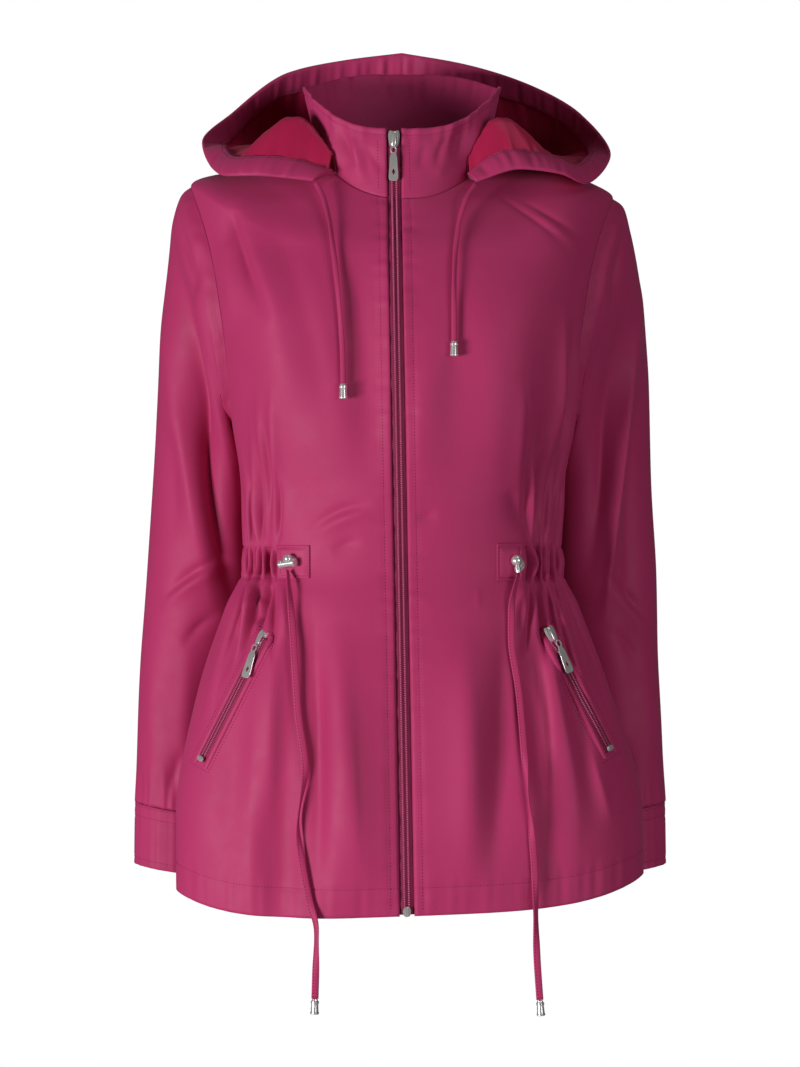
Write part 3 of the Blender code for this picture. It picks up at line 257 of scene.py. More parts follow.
COLLAR_CREASES = (
    (-0.062, 0.040, -0.0500, -0.020, 0.003, 0.0055, -0.0024),
    (-0.046, 0.012, -0.0380, -0.030, 0.001, 0.0040, 0.0024),
    (-0.036, 0.004, -0.0300, -0.034, 0.001, 0.0034, -0.0018),
    (-0.070, 0.020, -0.0560, -0.016, -0.002, 0.0060, 0.0026),
    (-0.055, 0.017, -0.0420, -0.017, 0.001, 0.0026, -0.0030),
    (-0.052, 0.019, -0.0400, -0.014, 0.001, 0.0034, 0.0026),
    (-0.034, 0.002, -0.0190, -0.024, 0.002, 0.0026, -0.0022),
    (-0.074, 0.049, -0.0540, 0.019, -0.002, 0.0034, 0.0034),
    (0.0415, 0.014, 0.0320, -0.020, -0.002, 0.0028, -0.0030),
    (0.061, 0.026, 0.0480, -0.006, -0.002, 0.0036, -0.0034),
    (0.022, 0.006, 0.0160, -0.020, 0.000, 0.0030, -0.0016),
    (0.062, 0.040, 0.0500, -0.016, -0.003, 0.0060, -0.0026),
    (0.074, 0.030, 0.0600, -0.010, 0.002, 0.0050, 0.0028),
    (0.040, 0.012, 0.0330, -0.030, -0.001, 0.0045, 0.0018),
)
CREST_SOFT, CREASE_ENDS = 0.6, 0.6
FRONT_DEPTH, GATHER_DEPTH, SLEEVE_DEPTH, COLLAR_DEPTH = 1.35, 2.0, 1.2, 1.5
WAIST_Z, GATHER_REACH = -0.377, 0.060
ARMHOLE_CALM, CALM_ROWS = 0.06, 1.3
FACING, REAR_FACING, SLEEVE_FRONT = 2.2, 1.8, 0.25
BESIDE_ZIP, ZIP_CALM = 0.012, 0.15

# Uneven ripples along seams: length, height and start of each wave
SEAM_WAVES = ((0.0113, 0.00022, 0.4), (0.0171, 0.00030, 1.9), (0.0290, 0.00028, 4.1), (0.0610, 0.00030, 2.6))
CASING_WAVES = ((0.0093, 0.00042, 0.9), (0.0147, 0.00066, 2.2), (0.0236, 0.00075, 5.0), (0.0517, 0.0006, 3.3))

# Stitch lines pressed into the cloth: depth of each hollow and how far its pull reaches
ZIP_STITCH, ZIP_GROOVE, ZIP_GROOVE_REACH, ZIP_PULL_REACH = 0.0078, 0.0005, 0.0022, 0.016
EDGE_ROLL, EDGE_ROLL_REACH = 0.0006, 0.0025
HEM_ROW, HEM_GROOVE, HEM_GROOVE_ROWS, HEM_RIPPLE = 9 / ROWS_PER_SECTION, 0.0006, 0.035, 0.7
WAIST_CHANNEL, WAIST_GROOVE, WAIST_GROOVE_REACH = (-0.3905, -0.3625), 0.0011, 0.003
WAIST_START_X, WAIST_FADE_X, WAIST_SIDE_X = 0.085, 0.02, 0.137
WAIST_STITCH_LEFT, WAIST_STITCH_RIGHT = -0.114, 0.110
CUFF_STITCHES, CUFF_RIPPLE = (0.05, 0.21, 0.90), 0.6
COLLAR_STITCH, COLLAR_RIPPLE = 0.90, 1.8
LINE_GROOVE, LINE_GROOVE_SHARE = 0.0005, 0.05
CAP_PUCKER, CUFF_PUCKER, PUCKER_RINGS = 0.9, 1.6, 0.9
CAP_CALM, CUFF_CALM, CAP_SEWN = 0.8, 0.5, 0.3

# How far ripples are shifted and stretched from one side or layer to the other
ZIP_SHIFT, HEM_SHIFT, SLEEVE_SHIFT, CUFF_SHIFT = 0.013, 0.02, 0.01, 0.02
LINING_SHIFT, CASING_SHIFT = 0.02, 0.03
HEM_STRETCH, CASING_STRETCH = 1.1, 1.07

# Armhole: an oval in the side of the torso
ARMHOLE_HALF = 0.066
ARMHOLE_Y = 0.006
ARMHOLE_STEPS = 70
SLEEVE_PUFF = np.array((0.006, 0.003, 0.001))
SLEEVE_ROUND, CUFF_ROUND = 0.062, 0.058

# Sleeve rings: outer_left, outer_right, outer_z, inner_x, inner_z, centre_y, half_depth, blend
SLEEVE = (
    (0.2080, 0.2095, -0.0465, 0.1605, -0.2530, 0.010, 0.060, 0.55),
    (0.2155, 0.2150, -0.0660, 0.1545, -0.2660, 0.020, 0.065, 0.95),
    (0.2230, 0.2255, -0.1200, 0.1465, -0.2900, 0.036, 0.068, 1.0),
    (0.2295, 0.2350, -0.207, 0.1415, -0.3250, 0.052, 0.066, 1.0),
    (0.2363, 0.2375, -0.305, 0.1390, -0.3850, 0.058, 0.062, 1.0),
    (0.2422, 0.2420, -0.390, 0.1480, -0.4400, 0.062, 0.058, 1.0),
    (0.2478, 0.2435, -0.468, 0.1620, -0.5020, 0.065, 0.053, 1.0),
    (0.2508, 0.2468, -0.545, 0.1700, -0.5650, 0.063, 0.047, 1.0),
    (0.2530, 0.2500, -0.6035, 0.1720, -0.6165, 0.061, 0.042, 1.0),
)
CUFF = (
    (0.2531, 0.2501, -0.6042, 0.1720, -0.6172, 0.0610, 0.0420, 1.0),
    (0.2536, 0.2506, -0.6340, 0.1722, -0.6460, 0.0610, 0.0415, 1.0),
    (0.2539, 0.2510, -0.6620, 0.1725, -0.6740, 0.0610, 0.0410, 1.0),
)
ROWS_PER_RING = 20
CUFF_ROWS = 13

# Stand collar, from the neck seam to its top edge
COLLAR_TOP = Section(front_z=0.018, side_z=0.0655, back_z=0.089, half_width=0.0925, front_y=-0.080,
                     side_y=0.0, back_y=0.088, front_power=2, back_power=2, centre_x=0, rise_power=1)
COLLAR_RISE = 3.0
COLLAR_ROWS, COLLAR_SEGMENTS = 30, 190

# Hood stations from the front corner (first row) to the back centre (last row)
NECK_U, LEFT_MOUTH, RIGHT_MOUTH = 0, slice(1, 4), slice(4, 7)
NECK_BEND, MOUTH_BEND = slice(7, 10), slice(10, 13)
HOOD = np.array((
    (0.27, 0.0810, -0.078, -0.030, 0.0680, -0.080, -0.031, 0.005, -0.006, 0.001, -0.006, 0.006, 0.005),
    (0.33, 0.1264, -0.074, -0.025, 0.1080, -0.076, -0.019, 0.020, 0.000, 0.014, -0.010, 0.022, 0.030),
    (0.40, 0.1600, -0.055, -0.023, 0.1430, -0.066, -0.022, 0.030, 0.002, 0.014, -0.010, 0.024, 0.028),
    (0.46, 0.1750, -0.022, -0.013, 0.1680, -0.045, -0.029, 0.035, 0.008, 0.014, -0.012, 0.020, 0.026),
    (0.52, 0.1880, 0.030, 0.019, 0.1955, 0.015, 0.006, 0.040, 0.025, 0.010, -0.004, 0.012, -0.012),
    (0.62, 0.1600, 0.080, 0.054, 0.1700, 0.070, 0.050, 0.050, 0.075, 0.012, 0.015, 0.040, -0.060),
    (0.75, 0.1100, 0.110, 0.0945, 0.1180, 0.103, 0.084, 0.052, 0.120, -0.045, 0.030, 0.125, -0.120),
    (0.88, 0.0550, 0.134, 0.110, 0.0600, 0.132, 0.106, 0.025, 0.128, -0.155, 0.020, 0.160, -0.240),
    (1.00, 0.0000, 0.142, 0.118, 0.0000, 0.142, 0.118, 0.000, 0.125, -0.205, 0.000, 0.165, -0.300),
))
HOOD_LIFT = 0.0013
HOOD_STANDOFF = 0.0012
CASING_WIDTH = 0.020
CASING_WALL = 0.0030
CASING_GAP = 0.0010
CASING_LAP, CASING_COVER = 0.0045, 0.0016
CASING_PUFF, CASING_DRAW = 0.0016, 0.9
PANEL_SEAMS = (-0.09, 0.16)
HOOD_SEAM_W = 0.0012
HOOD_STATIONS, HOOD_ROWS, CASING_ROWS, CASING_STITCH = 250, 48, 11, 2
HOOD_GATHER, LINING_SLACK = 1.3, 0.9

# Where the lining rises in the hood's lobes: centre_w, half_w, centre_share, half_share, rise
LINING_TENTS = ((-0.88, 0.20, 0.52, 0.50, 0.032), (0.88, 0.20, 0.52, 0.50, 0.032))
TENT_ROUND = 0.7

# Where the casing is drawn up more: centre_w, half_w, share
CASING_DRAWN = ((0.0, 0.16, 0.7), (-0.62, 0.06, 0.45), (0.58, 0.07, 0.45))
DRAWN_ALL_OVER, DRAWN_CORNER, CORNER_W, CORNER_HALF_W = 0.50, 0.5, 0.92, 0.08

# Front zip: its centre line drifts across the front from the collar to the hem
ZIP_TOP = {"x": -0.008, "z": 0.018}
ZIP_FOOT = {"x": 0.0045, "z": -0.691}
CHANNEL_HALF = 0.0065
TAPE_OFFSETS = (-0.0120, -0.0078, -0.0046, 0.0, 0.0046, 0.0078, 0.0120)
TAPE_DEPTHS = (0.0036, 0.0031, 0.0017, 0.0014, 0.0017, 0.0031, 0.0036)
TAPE_WALL = 0.0006
COIL_HALF, COIL_PROUD, ZIP_PITCH = 0.0028, 0.0004, 0.0020
TOOTH_SHAPE = ((0.42, 0.50), (0.54, 1.0), (0.90, 1.0), (1.0, 0.6))
TOOTH_HALF, TOOTH_SHARE = 0.0008, 0.26
ZIP_ROWS, ZIP_COLLAR_ROWS = np.linspace(0.02, 9.97, 260), np.linspace(0.04, 0.95, 26)

# Pocket zips: top (slider end) and foot of each, as x and z on the front
POCKET_LEFT = {"top": (-0.125, -0.446), "foot": (-0.180, -0.554)}
POCKET_RIGHT = {"top": (0.133, -0.442), "foot": (0.186, -0.545)}
POCKET_HALF, POCKET_WALL, POCKET_GAP = 0.0040, 0.0007, 0.0004
POCKET_COIL, POCKET_PITCH = 0.0021, 0.0016
POCKET_OFFSETS, POCKET_STEPS = np.linspace(-POCKET_HALF, POCKET_HALF, 7), np.linspace(-0.02, 1.02, 70)
POCKET_MIDDLE = len(POCKET_OFFSETS) // 2
LIP_OFFSET, LIP_HALF, LIP_HEIGHT, LIP_SUNK, LIP_OVER = 0.0055, 0.0026, 0.0022, 0.0007, 0.006
LIP_END, LIP_TIP = 0.45, 0.02
BOX_HALF, BOX_OVER = 0.0098, 0.0090

# Waist patches and the cord locks on them
PATCH_LEFT = {"x": (-0.1125, -0.0830), "z": (-0.3905, -0.3605)}
PATCH_RIGHT = {"x": (0.0850, 0.1085), "z": (-0.3925, -0.3590)}
PATCH_WALL, PATCH_GAP, PATCH_INSET, PATCH_STEPS = 0.0009, 0.0005, 0.0024, 26
PATCH_SWELL, PATCH_SWELL_REACH, PATCH_GROOVE_REACH = 0.0006, 0.006, 0.0015
LOCK_RADIUS, LOCK_EXIT_GAP = 0.0055, 0.0009
LOCK = {"ball_along": 0.35, "ball": 0.95, "dome": 0.82, "dome_above": 0.75, "dome_along": 0.1,
        "dome_sunk": 0.1}
EYELET = {"depth": 0.0010, "radius": 0.0056, "half_rise": 0.0011, "half_width": 0.0013}
BARREL_HALF = np.array(((-1.0, 0.50), (-1.0, 0.66), (-0.94, 0.74), (-0.66, 0.74), (-0.62, 0.62)))
BARREL_PROFILE = np.concatenate((BARREL_HALF, (BARREL_HALF * (-1, 1))[::-1]))
PIN_PROFILE = ((-1.0, 0.24), (-0.96, 0.36), (-0.70, 0.40), (-0.66, 0.54), (-0.40, 0.54), (-0.36, 0.42),
               (0.1, 0.42))

# Cord routes over the front: x, z
HOOD_CORD_LEFT = ((-0.0650, -0.0700), (-0.0600, -0.1080), (-0.0560, -0.1480), (-0.0530, -0.1900),
                  (-0.0525, -0.2160))
HOOD_CORD_RIGHT = ((0.0510, -0.0700), (0.0475, -0.1020), (0.0465, -0.1400), (0.0465, -0.1780))
WAIST_CORD_LEFT = ((-0.1005, -0.4100), (-0.0975, -0.4450), (-0.0930, -0.5110), (-0.0865, -0.5610),
                   (-0.0930, -0.6110), (-0.0830, -0.6750), (-0.0760, -0.7035), (-0.0770, -0.7470),
                   (-0.0775, -0.7640))
WAIST_CORD_RIGHT = ((0.0985, -0.4140), (0.0982, -0.4450), (0.1050, -0.4940), (0.1115, -0.5770),
                    (0.1150, -0.6110), (0.1185, -0.6560), (0.1195, -0.7045), (0.1205, -0.7300),
                    (0.1230, -0.7660))

# Where the hood cords leave their casing: x, y, z
HOOD_EXIT_LEFT = ((-0.0785, -0.0765, -0.0312), (-0.0715, -0.0860, -0.0450))
HOOD_EXIT_RIGHT = ((0.0675, -0.0785, -0.0322), (0.0575, -0.0890, -0.0480))
CORD_HEM_Z, CORD_STEP, CORD_LIFT, CORD_SMOOTHING = -0.684, 0.0025, 0.0030, 6
CORD = {"seated_over": 0.02, "square": 0.7, "hollow": 0.25, "stitch_out": 0.27, "stitch_rise": 0.46}
TO_FRONT, DOWN = np.array((0.0, -1.0, 0.0)), np.array((0.0, 0.0, -1.0))
CORD_BRIDGE, CORD_JOIN, CORD_DENSE, CORD_HEAD_STEPS = 7, 14, 241, 60
HOOD_CORD_SIZE, WAIST_CORD_SIZE = (0.0048, 0.0026), (0.0064, 0.0020)

# Turns of each cord on itself: place along it, reach, degrees
TWISTS = {
    "hood_cord_left": ((0.05, 0.05, 40), (0.13, 0.04, -35)),
    "hood_cord_right": ((0.04, 0.04, -35), (0.10, 0.04, 40)),
    "waist_cord_left": ((0.0, 0.06, 70), (0.22, 0.05, 82), (0.335, 0.04, -50)),
    "waist_cord_right": ((0.0, 0.05, 60), (0.205, 0.05, -82), (0.31, 0.04, 45)),
}

# Turned metal ends of the cords: along, radius
CRIMP_PROFILE = ((-1.0, 0.55), (-1.0, 0.86), (-0.92, 0.98), (-0.74, 0.98), (-0.66, 0.88), (0.30, 0.78),
                 (0.42, 0.90), (0.70, 0.90), (0.80, 0.70), (1.0, 0.62), (1.0, 0.40))

# Pull tabs and sliders, metres below the hinge
PULL = {"half_wall": 0.0007, "hole_z": -0.0235, "hole_half_x": 0.0017, "hole_half_z": 0.0034,
        "hole_share": 0.9, "face_share": 0.95, "lip_share": 1.14, "edge_share": 0.6}
PULL_HALF = np.array(((0.0022, -0.0062), (0.0034, -0.0085), (0.0035, -0.0150), (0.0040, -0.0220),
                      (0.0046, -0.0290), (0.0034, -0.0318)))
PULL_EDGE = np.concatenate((PULL_HALF, (PULL_HALF * (-1, 1))[::-1]))
BAIL = {"half_x": 0.0024, "half_y": 0.0032, "drop": 0.0036}
WEDGE = np.array(((-0.62, -1.0), (0.62, -1.0), (1.0, 0.25), (0.8, 1.0), (0.0, 0.8), (-0.8, 1.0),
                  (-1.0, 0.25)))
SQUARE = np.array(((1, 1), (-1, 1), (-1, -1), (1, -1)))
METAL_BEVEL, RIDGE_BEVEL = 0.0004, 0.0003
SLIDER = {"base_top": -0.15, "plate_share": 0.84, "plate_half": 0.3, "bridge_half": 0.34,
          "bridge_taper": 0.25, "bridge_wall": 0.18}
STOP = {"block_top": 0.55, "ridge_wide": 0.55, "ridge_long": 0.8, "ridge_foot": 0.3}
BRIDGE = ((0.82, 0.05), (0.66, 0.55), (0.35, 0.80), (-0.10, 0.82), (-0.50, 0.70), (-0.80, 0.45), (-0.95, 0.0))
CRISP_ANGLE = math.radians(28)
SLIDER_GROWTH = np.array((1.28, 1.12, 1.0))

# Sewing: length, pitch and size of a stitch
STITCH, STITCH_PITCH, STITCH_HALF, STITCH_PROUD, STITCH_SUNK = 0.0021, 0.0029, 0.00052, 0.00048, 0.00022
LAID_STEP = 0.0025
ZIP_STITCH_BODY, ZIP_STITCH_COLLAR = (-0.686, -0.055), (-0.038, 0.010)

# Cloth pieces by name, filled in as they are made
CLOTHS = {}

# Studio: name, place, size and watts of each light, then the camera and the floor
LIGHTS = (("key", (-2.6, -2.3, -0.80), 1.1, 104.0), ("fill", (1.9, -2.6, -0.2), 1.4, 25.0),
          ("top", (0.8, -0.9, 2.0), 1.2, 5.0))
LIT_POINT = (0.0, 0.0, -0.35)
AMBIENT = 0.045
CAMERA_PLACE, CAMERA_LENS, CAMERA_SENSOR = (-0.0018, -3.13, -0.35), 113.35, 36.0
FLOOR_RADIUS, FLOOR_Z, FLOOR_SIDES = 1.1, -1.35, 64
WHITE = (1, 1, 1, 1)


def rising_slopes(table):
    """Slopes of a cubic curve through the rows that never overshoots them."""
    step = np.diff(table, axis=0)
    slopes = np.zeros_like(table)
    same_way = step[:-1] * step[1:] > 0
    total = np.where(same_way, step[:-1] + step[1:], 1.0)
    slopes[1:-1] = np.where(same_way, 2 * step[:-1] * step[1:] / total, 0.0)
    slopes[0], slopes[-1] = step[0], step[-1]
    return slopes


SECTION_SLOPES = rising_slopes(SECTIONS)
HOOD_SLOPES = rising_slopes(HOOD)


def row_at(table, slopes, v):
    """The table's row at v, which may lie between two rows."""
    low = min(max(int(v), 0), len(table) - 2)
    t = v - low
    start = (1 + 2 * t) * (1 - t) ** 2
    end = t * t * (3 - 2 * t)
    return (start * table[low] + end * table[low + 1]
            + t * (1 - t) ** 2 * slopes[low] - t * t * (1 - t) * slopes[low + 1])


def section_at(v):
    """The torso's section v, which may lie between two rows."""
    return Section(*row_at(SECTIONS, SECTION_SLOPES, v))


def unit(vectors):
    """Vectors scaled to length one."""
    return vectors / np.linalg.norm(vectors, axis=-1, keepdims=True)


def ease(t):
    """Smooth hump: one at t = 0, nothing at t = 1 or more."""
    return 0.5 + 0.5 * np.cos(math.pi * np.clip(np.abs(t), 0, 1))


def tuck(t):
    """Round hump with a pinched foot: one at t = 0, nothing at t = 1 or more."""
    return 1 - np.clip(np.abs(t), 0, 1) ** 2


def crest(t):
    """Crease profile: a softened peak that fades out to both sides."""
    return np.exp(CREST_SOFT - np.sqrt(t * t + CREST_SOFT ** 2))


def pinch(t):
    """Gather profile: a narrow peak between wide low shoulders, so the cloth keeps its mean level."""
    return 2 * crest(t) - crest(t / 2)


def crease_lift(points, table, profile=crest):
    """How far listed creases lift points, seen along Y."""
    x, z = points[..., 0], points[..., 2]
    lift = np.zeros(points.shape[:-1])
    for x0, z0, x1, z1, bow, width, height in table:
        length = math.hypot(x1 - x0, z1 - z0)
        along_x, along_z = (x1 - x0) / length, (z1 - z0) / length
        t = ((x - x0) * along_x + (z - z0) * along_z) / length
        off = (z - z0) * along_x - (x - x0) * along_z - bow * 4 * t * (1 - t)
        lift += height * ease(2 * t - 1) ** CREASE_ENDS * profile(off / width)
    return lift


def ripple(distance, waves):
    """Uneven ripple along a seam from a few waves of unlike length."""
    return sum(height * np.sin(2 * math.pi * distance / length + start) for length, height, start in waves)


QUARTER = np.linspace(0, math.pi / 2, 241)


def quarter_curve(half_width, end_y, side_y, power):
    """One quarter of a section, from the centre line to the side, with its arc fraction."""
    x = half_width * np.sin(QUARTER) ** (2 / power)
    y = side_y + (end_y - side_y) * np.cos(QUARTER) ** (2 / power)
    arc = np.concatenate(([0], np.cumsum(np.hypot(np.diff(x), np.diff(y)))))
    return x, y, arc


def front_curve(row):
    """Front quarter of a section."""
    return quarter_curve(row.half_width, row.front_y, row.side_y, row.front_power)


def back_curve(row):
    """Back quarter of a section."""
    return quarter_curve(row.half_width, row.back_y, row.side_y, row.back_power)


def plain_ring(row, u):
    """Points of one torso section before its folds; u runs once round from -1 to 1."""
    wrapped = (u + 1) % 2 - 1
    q = np.abs(wrapped)
    front_x, front_line, front_arc = front_curve(row)
    back_x, back_line, back_arc = back_curve(row)
    front_part = np.clip(q / 0.5, 0, 1) * front_arc[-1]
    back_part = np.clip((1 - q) / 0.5, 0, 1) * back_arc[-1]
    at_front = q <= 0.5
    x = np.where(at_front, np.interp(front_part, front_arc, front_x),
                 np.interp(back_part, back_arc, back_x))
    y = np.where(at_front, np.interp(front_part, front_arc, front_line),
                 np.interp(back_part, back_arc, back_line))
    rise = (x / row.half_width) ** row.rise_power
    z = np.where(at_front, row.front_z + (row.side_z - row.front_z) * rise,
                 row.back_z + (row.side_z - row.back_z) * rise)
    return np.stack((x * np.sign(wrapped) + row.centre_x, y, z), axis=-1)


def fold_height(u, z):
    """How far the folds lift the cloth off the plain section; gathers are pinched between."""
    wrapped = (u + 1) % 2 - 1
    height = np.zeros_like(wrapped)
    for fold_u, half_u, top_z, deep_z, low_z, lift in FOLDS:
        above = (z - deep_z) / (top_z - deep_z)
        below = (z - deep_z) / (low_z - deep_z)
        profile = tuck if half_u < GATHER_HALF_U else ease
        height += lift * profile((wrapped - fold_u) / half_u) * ease(np.where(z > deep_z, above, below))
    return height


def body(v, u):
    """Points of the torso's outer face on section v."""
    u = np.asarray(u, dtype=float)
    row = section_at(v)
    points = plain_ring(row, u)
    tilt = HEM_TILT * np.clip(1 - v / 2, 0, 1) - SHOULDER_TILT * np.clip((v - UNDERARM_ROW) / 2, 0, 1)
    points[:, 2] += tilt * points[:, 0]
    at_right = ease((points[:, 0] - RISE_X) / RISE_REACH_X)
    points[:, 2] += RIGHT_RISE * at_right * np.clip((v - RISE_ROW) / RISE_ROWS, 0, 1)
    along = plain_ring(row, u + PROBE_U) - plain_ring(row, u - PROBE_U)
    outward = unit(np.stack((along[:, 1], -along[:, 0], np.zeros(len(u))), axis=-1))
    return points + outward * fold_height(u, points[:, 2])[:, None]


def body_normal(v, u):
    """Outward directions of the torso's face."""
    u = np.asarray(u, dtype=float)
    up = body(min(v + PROBE_V, NECK_ROW), u) - body(max(v - PROBE_V, 0), u)
    round_ring = body(v, u + PROBE_U) - body(v, u - PROBE_U)
    return unit(np.cross(round_ring, up))


def grid_normals(points, closed=False):
    """Directions across a grid, from its rows and columns."""
    if closed:
        across = np.roll(points, -1, axis=1) - np.roll(points, 1, axis=1)
    else:
        across = np.gradient(points, axis=1)
    return unit(np.cross(across, np.gradient(points, axis=0)))


def side_z_to_row(z):
    """Section number whose side point lies at height z."""
    steps = np.linspace(UNDERARM_ROW, SHOULDER_ROW, 81)
    heights = [section_at(v).side_z for v in steps]
    return float(np.interp(z, heights, steps))


def armhole_rows():
    """Section numbers up the armhole, and the angle of each on its oval."""
    angles = np.linspace(math.pi, 0, ARMHOLE_STEPS + 1)
    heights = (UNDERARM_Z + SHOULDER_Z) / 2 + (SHOULDER_Z - UNDERARM_Z) / 2 * np.cos(angles)
    return [side_z_to_row(z) for z in heights], angles


ARM_ROWS, ARM_ANGLES = armhole_rows()


def edge_u(v):
    """Where the front and the back panel end on section v: side seam, armhole or shoulder."""
    if not UNDERARM_ROW < v < SHOULDER_ROW:
        return 0.5, 0.5
    angle = float(np.interp(v, ARM_ROWS, ARM_ANGLES))
    reach = ARMHOLE_HALF * math.sin(angle)
    row = section_at(v)
    _, front_line, front_arc = front_curve(row)
    _, back_line, back_arc = back_curve(row)
    front = np.interp(ARMHOLE_Y - reach, front_line, front_arc) / front_arc[-1]
    back = np.interp(-(ARMHOLE_Y + reach), -back_line, back_arc) / back_arc[-1]
    return 0.5 * min(front, 1.0), 1 - 0.5 * min(back, 1.0)


def zip_x(z):
    """The zip's centre line."""
    drop = (z - ZIP_FOOT["z"]) / (ZIP_TOP["z"] - ZIP_FOOT["z"])
    return ZIP_FOOT["x"] + (ZIP_TOP["x"] - ZIP_FOOT["x"]) * drop


def x_to_u(v, x):
    """Section position of a point x to the side of the front centre."""
    row = section_at(v)
    across, _, arc = front_curve(row)
    reach = x - row.centre_x
    return math.copysign(0.5 * float(np.interp(abs(reach), across, arc)) / arc[-1], reach)


def add_piece(name, points, faces, material, body_name="jacket", node=None):
    """A mesh piece that rides on a body and may stand for a node of the frame."""
    mesh = bpy.data.meshes.new(name)
    mesh.from_pydata(np.asarray(points, dtype=float).tolist(), [], faces)
    mesh.shade_smooth()
    mesh.materials.append(material)
    obj = bpy.data.objects.new(name, mesh)
    bpy.context.scene.collection.objects.link(obj)
    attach(obj, body_name)
    if node:
        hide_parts(node)
    return obj


def grid_faces(rows, columns, closed, first=0, flip=False):
    """Quads of a grid of points, as a list of corner numbers."""
    i, j = np.meshgrid(np.arange(rows - 1), np.arange(columns if closed else columns - 1), indexing="ij")
    k = (j + 1) % columns
    this_row, next_row = i * columns, (i + 1) * columns
    quads = np.stack((this_row + j, this_row + k, next_row + k, next_row + j), axis=-1)
    quads = quads.reshape(-1, 4) + first
    return (quads[:, ::-1] if flip else quads).tolist()


def shell(name, outer, inner, material, closed=False, turned=False):
    """A thin cloth between two grids, closed round its edges; turned where the grid runs the other way."""
    rows, columns = outer.shape[:2]
    count = rows * columns
    faces = grid_faces(rows, columns, closed, 0, turned)
    faces += grid_faces(rows, columns, closed, count, not turned)
    rims = [np.arange(columns), (rows - 1) * columns + np.arange(columns)]
    for flip, rim in zip((False, True), rims):
        ends = np.roll(rim, -1) if closed else rim[1:]
        starts = rim if closed else rim[:-1]
        quads = np.stack((starts, starts + count, ends + count, ends), axis=-1)
        faces += (quads if flip == turned else quads[:, ::-1]).tolist()
    if not closed:
        for flip, column in ((True, 0), (False, columns - 1)):
            side = np.arange(rows) * columns + column
            quads = np.stack((side[:-1], side[:-1] + count, side[1:] + count, side[1:]), axis=-1)
            faces += (quads if flip == turned else quads[:, ::-1]).tolist()
    points = np.concatenate((outer.reshape(-1, 3), inner.reshape(-1, 3)))
    CLOTHS[name] = add_piece(name + "_cloth", points, faces, material, node=name)
    return CLOTHS[name]


def principled(name, slot, **values):
    """A new material with its Principled shader; returns material, nodes, links and shader."""
    material = bpy.data.materials.new(name)
    material.use_nodes = True
    material["slot"] = slot
    nodes, links = material.node_tree.nodes, material.node_tree.links
    shader = nodes["Principled BSDF"]
    for key, value in values.items():
        shader.inputs[key.replace("_", " ")].default_value = value
    return material, nodes, links, shader


def mottled(nodes, links, target, low, high, scale, detail, coordinates):
    """Two close values mixed by a noise into a socket."""
    noise = nodes.new("ShaderNodeTexNoise")
    noise.inputs["Scale"].default_value = scale
    noise.inputs["Detail"].default_value = detail
    links.new(coordinates, noise.inputs["Vector"])
    ramp = nodes.new("ShaderNodeValToRGB")
    ramp.color_ramp.elements[0].position, ramp.color_ramp.elements[1].position = 0.3, 0.7
    ramp.color_ramp.elements[0].color, ramp.color_ramp.elements[1].color = low, high
    links.new(noise.outputs["Fac"], ramp.inputs["Fac"])
    links.new(ramp.outputs["Color"], target)


def woven(nodes, links, shader, coordinates, thread, strength, distance):
    """Plain weave as bump: bands of warp and weft threads of the given width."""
    bands = []
    for direction in ("X", "Z"):
        wave = nodes.new("ShaderNodeTexWave")
        wave.bands_direction = direction
        wave.inputs["Scale"].default_value = 1 / (thread * 20)
        wave.inputs["Distortion"].default_value = 0.6
        links.new(coordinates, wave.inputs["Vector"])
        bands.append(wave)
    both = nodes.new("ShaderNodeMath")
    both.operation = "MULTIPLY"
    for socket, wave in zip(both.inputs, bands):
        links.new(wave.outputs["Fac"], socket)
    bump = nodes.new("ShaderNodeBump")
    bump.inputs["Strength"].default_value = strength
    bump.inputs["Distance"].default_value = distance
    links.new(both.outputs[0], bump.inputs["Height"])
    links.new(bump.outputs["Normal"], shader.inputs["Normal"])


def grey(value):
    """A plain value as a colour."""
    return value, value, value, 1


def uneven(name, slot, low, high, roughness, spread, scales, details, **values):
    """A material whose colour and gloss vary a little over the piece; also gives what bump needs."""
    material, nodes, links, shader = principled(name, slot, **values)
    place = nodes.new("ShaderNodeTexCoord").outputs["Object"]
    mottled(nodes, links, shader.inputs["Base Color"], low, high, scales[0], details[0], place)
    soft, hard = grey(roughness - spread), grey(roughness + spread)
    mottled(nodes, links, shader.inputs["Roughness"], soft, hard, scales[1], details[1], place)
    return material, nodes, links, shader, place


def cloth_material(name, slot, low, high, roughness, sheen, tint, thread):
    """A fine woven cloth with a soft sheen and slightly uneven colour."""
    material, *parts = uneven(name, slot, low, high, roughness, 0.05, (14.0, 45.0), (4.0, 3.0),
                              Sheen_Weight=sheen, Sheen_Roughness=0.45, Sheen_Tint=tint,
                              Specular_IOR_Level=0.22)
    woven(*parts, thread, 0.12, 0.0002)
    return material


def moulded_material(name, slot, low, high, roughness):
    """A moulded plastic with slightly uneven colour and gloss."""
    material, *_ = uneven(name, slot, low, high, roughness, 0.06, (300.0, 500.0), (2.0, 2.0),
                          Specular_IOR_Level=0.5)
    return material


def metal_material(name, slot, low, high, roughness):
    """Plated metal, worn a little unevenly, with fine scratches."""
    material, nodes, links, shader, place = uneven(
        name, slot, low, high, roughness, 0.04, (260.0, 90.0), (3.0, 3.0), Metallic=0.7)
    noise = nodes.new("ShaderNodeTexNoise")
    noise.inputs["Scale"].default_value = 900.0
    links.new(place, noise.inputs["Vector"])
    bump = nodes.new("ShaderNodeBump")
    bump.inputs["Strength"].default_value = 0.02
    bump.inputs["Distance"].default_value = 0.0001
    links.new(noise.outputs["Fac"], bump.inputs["Height"])
    links.new(bump.outputs["Normal"], shader.inputs["Normal"])
    return material


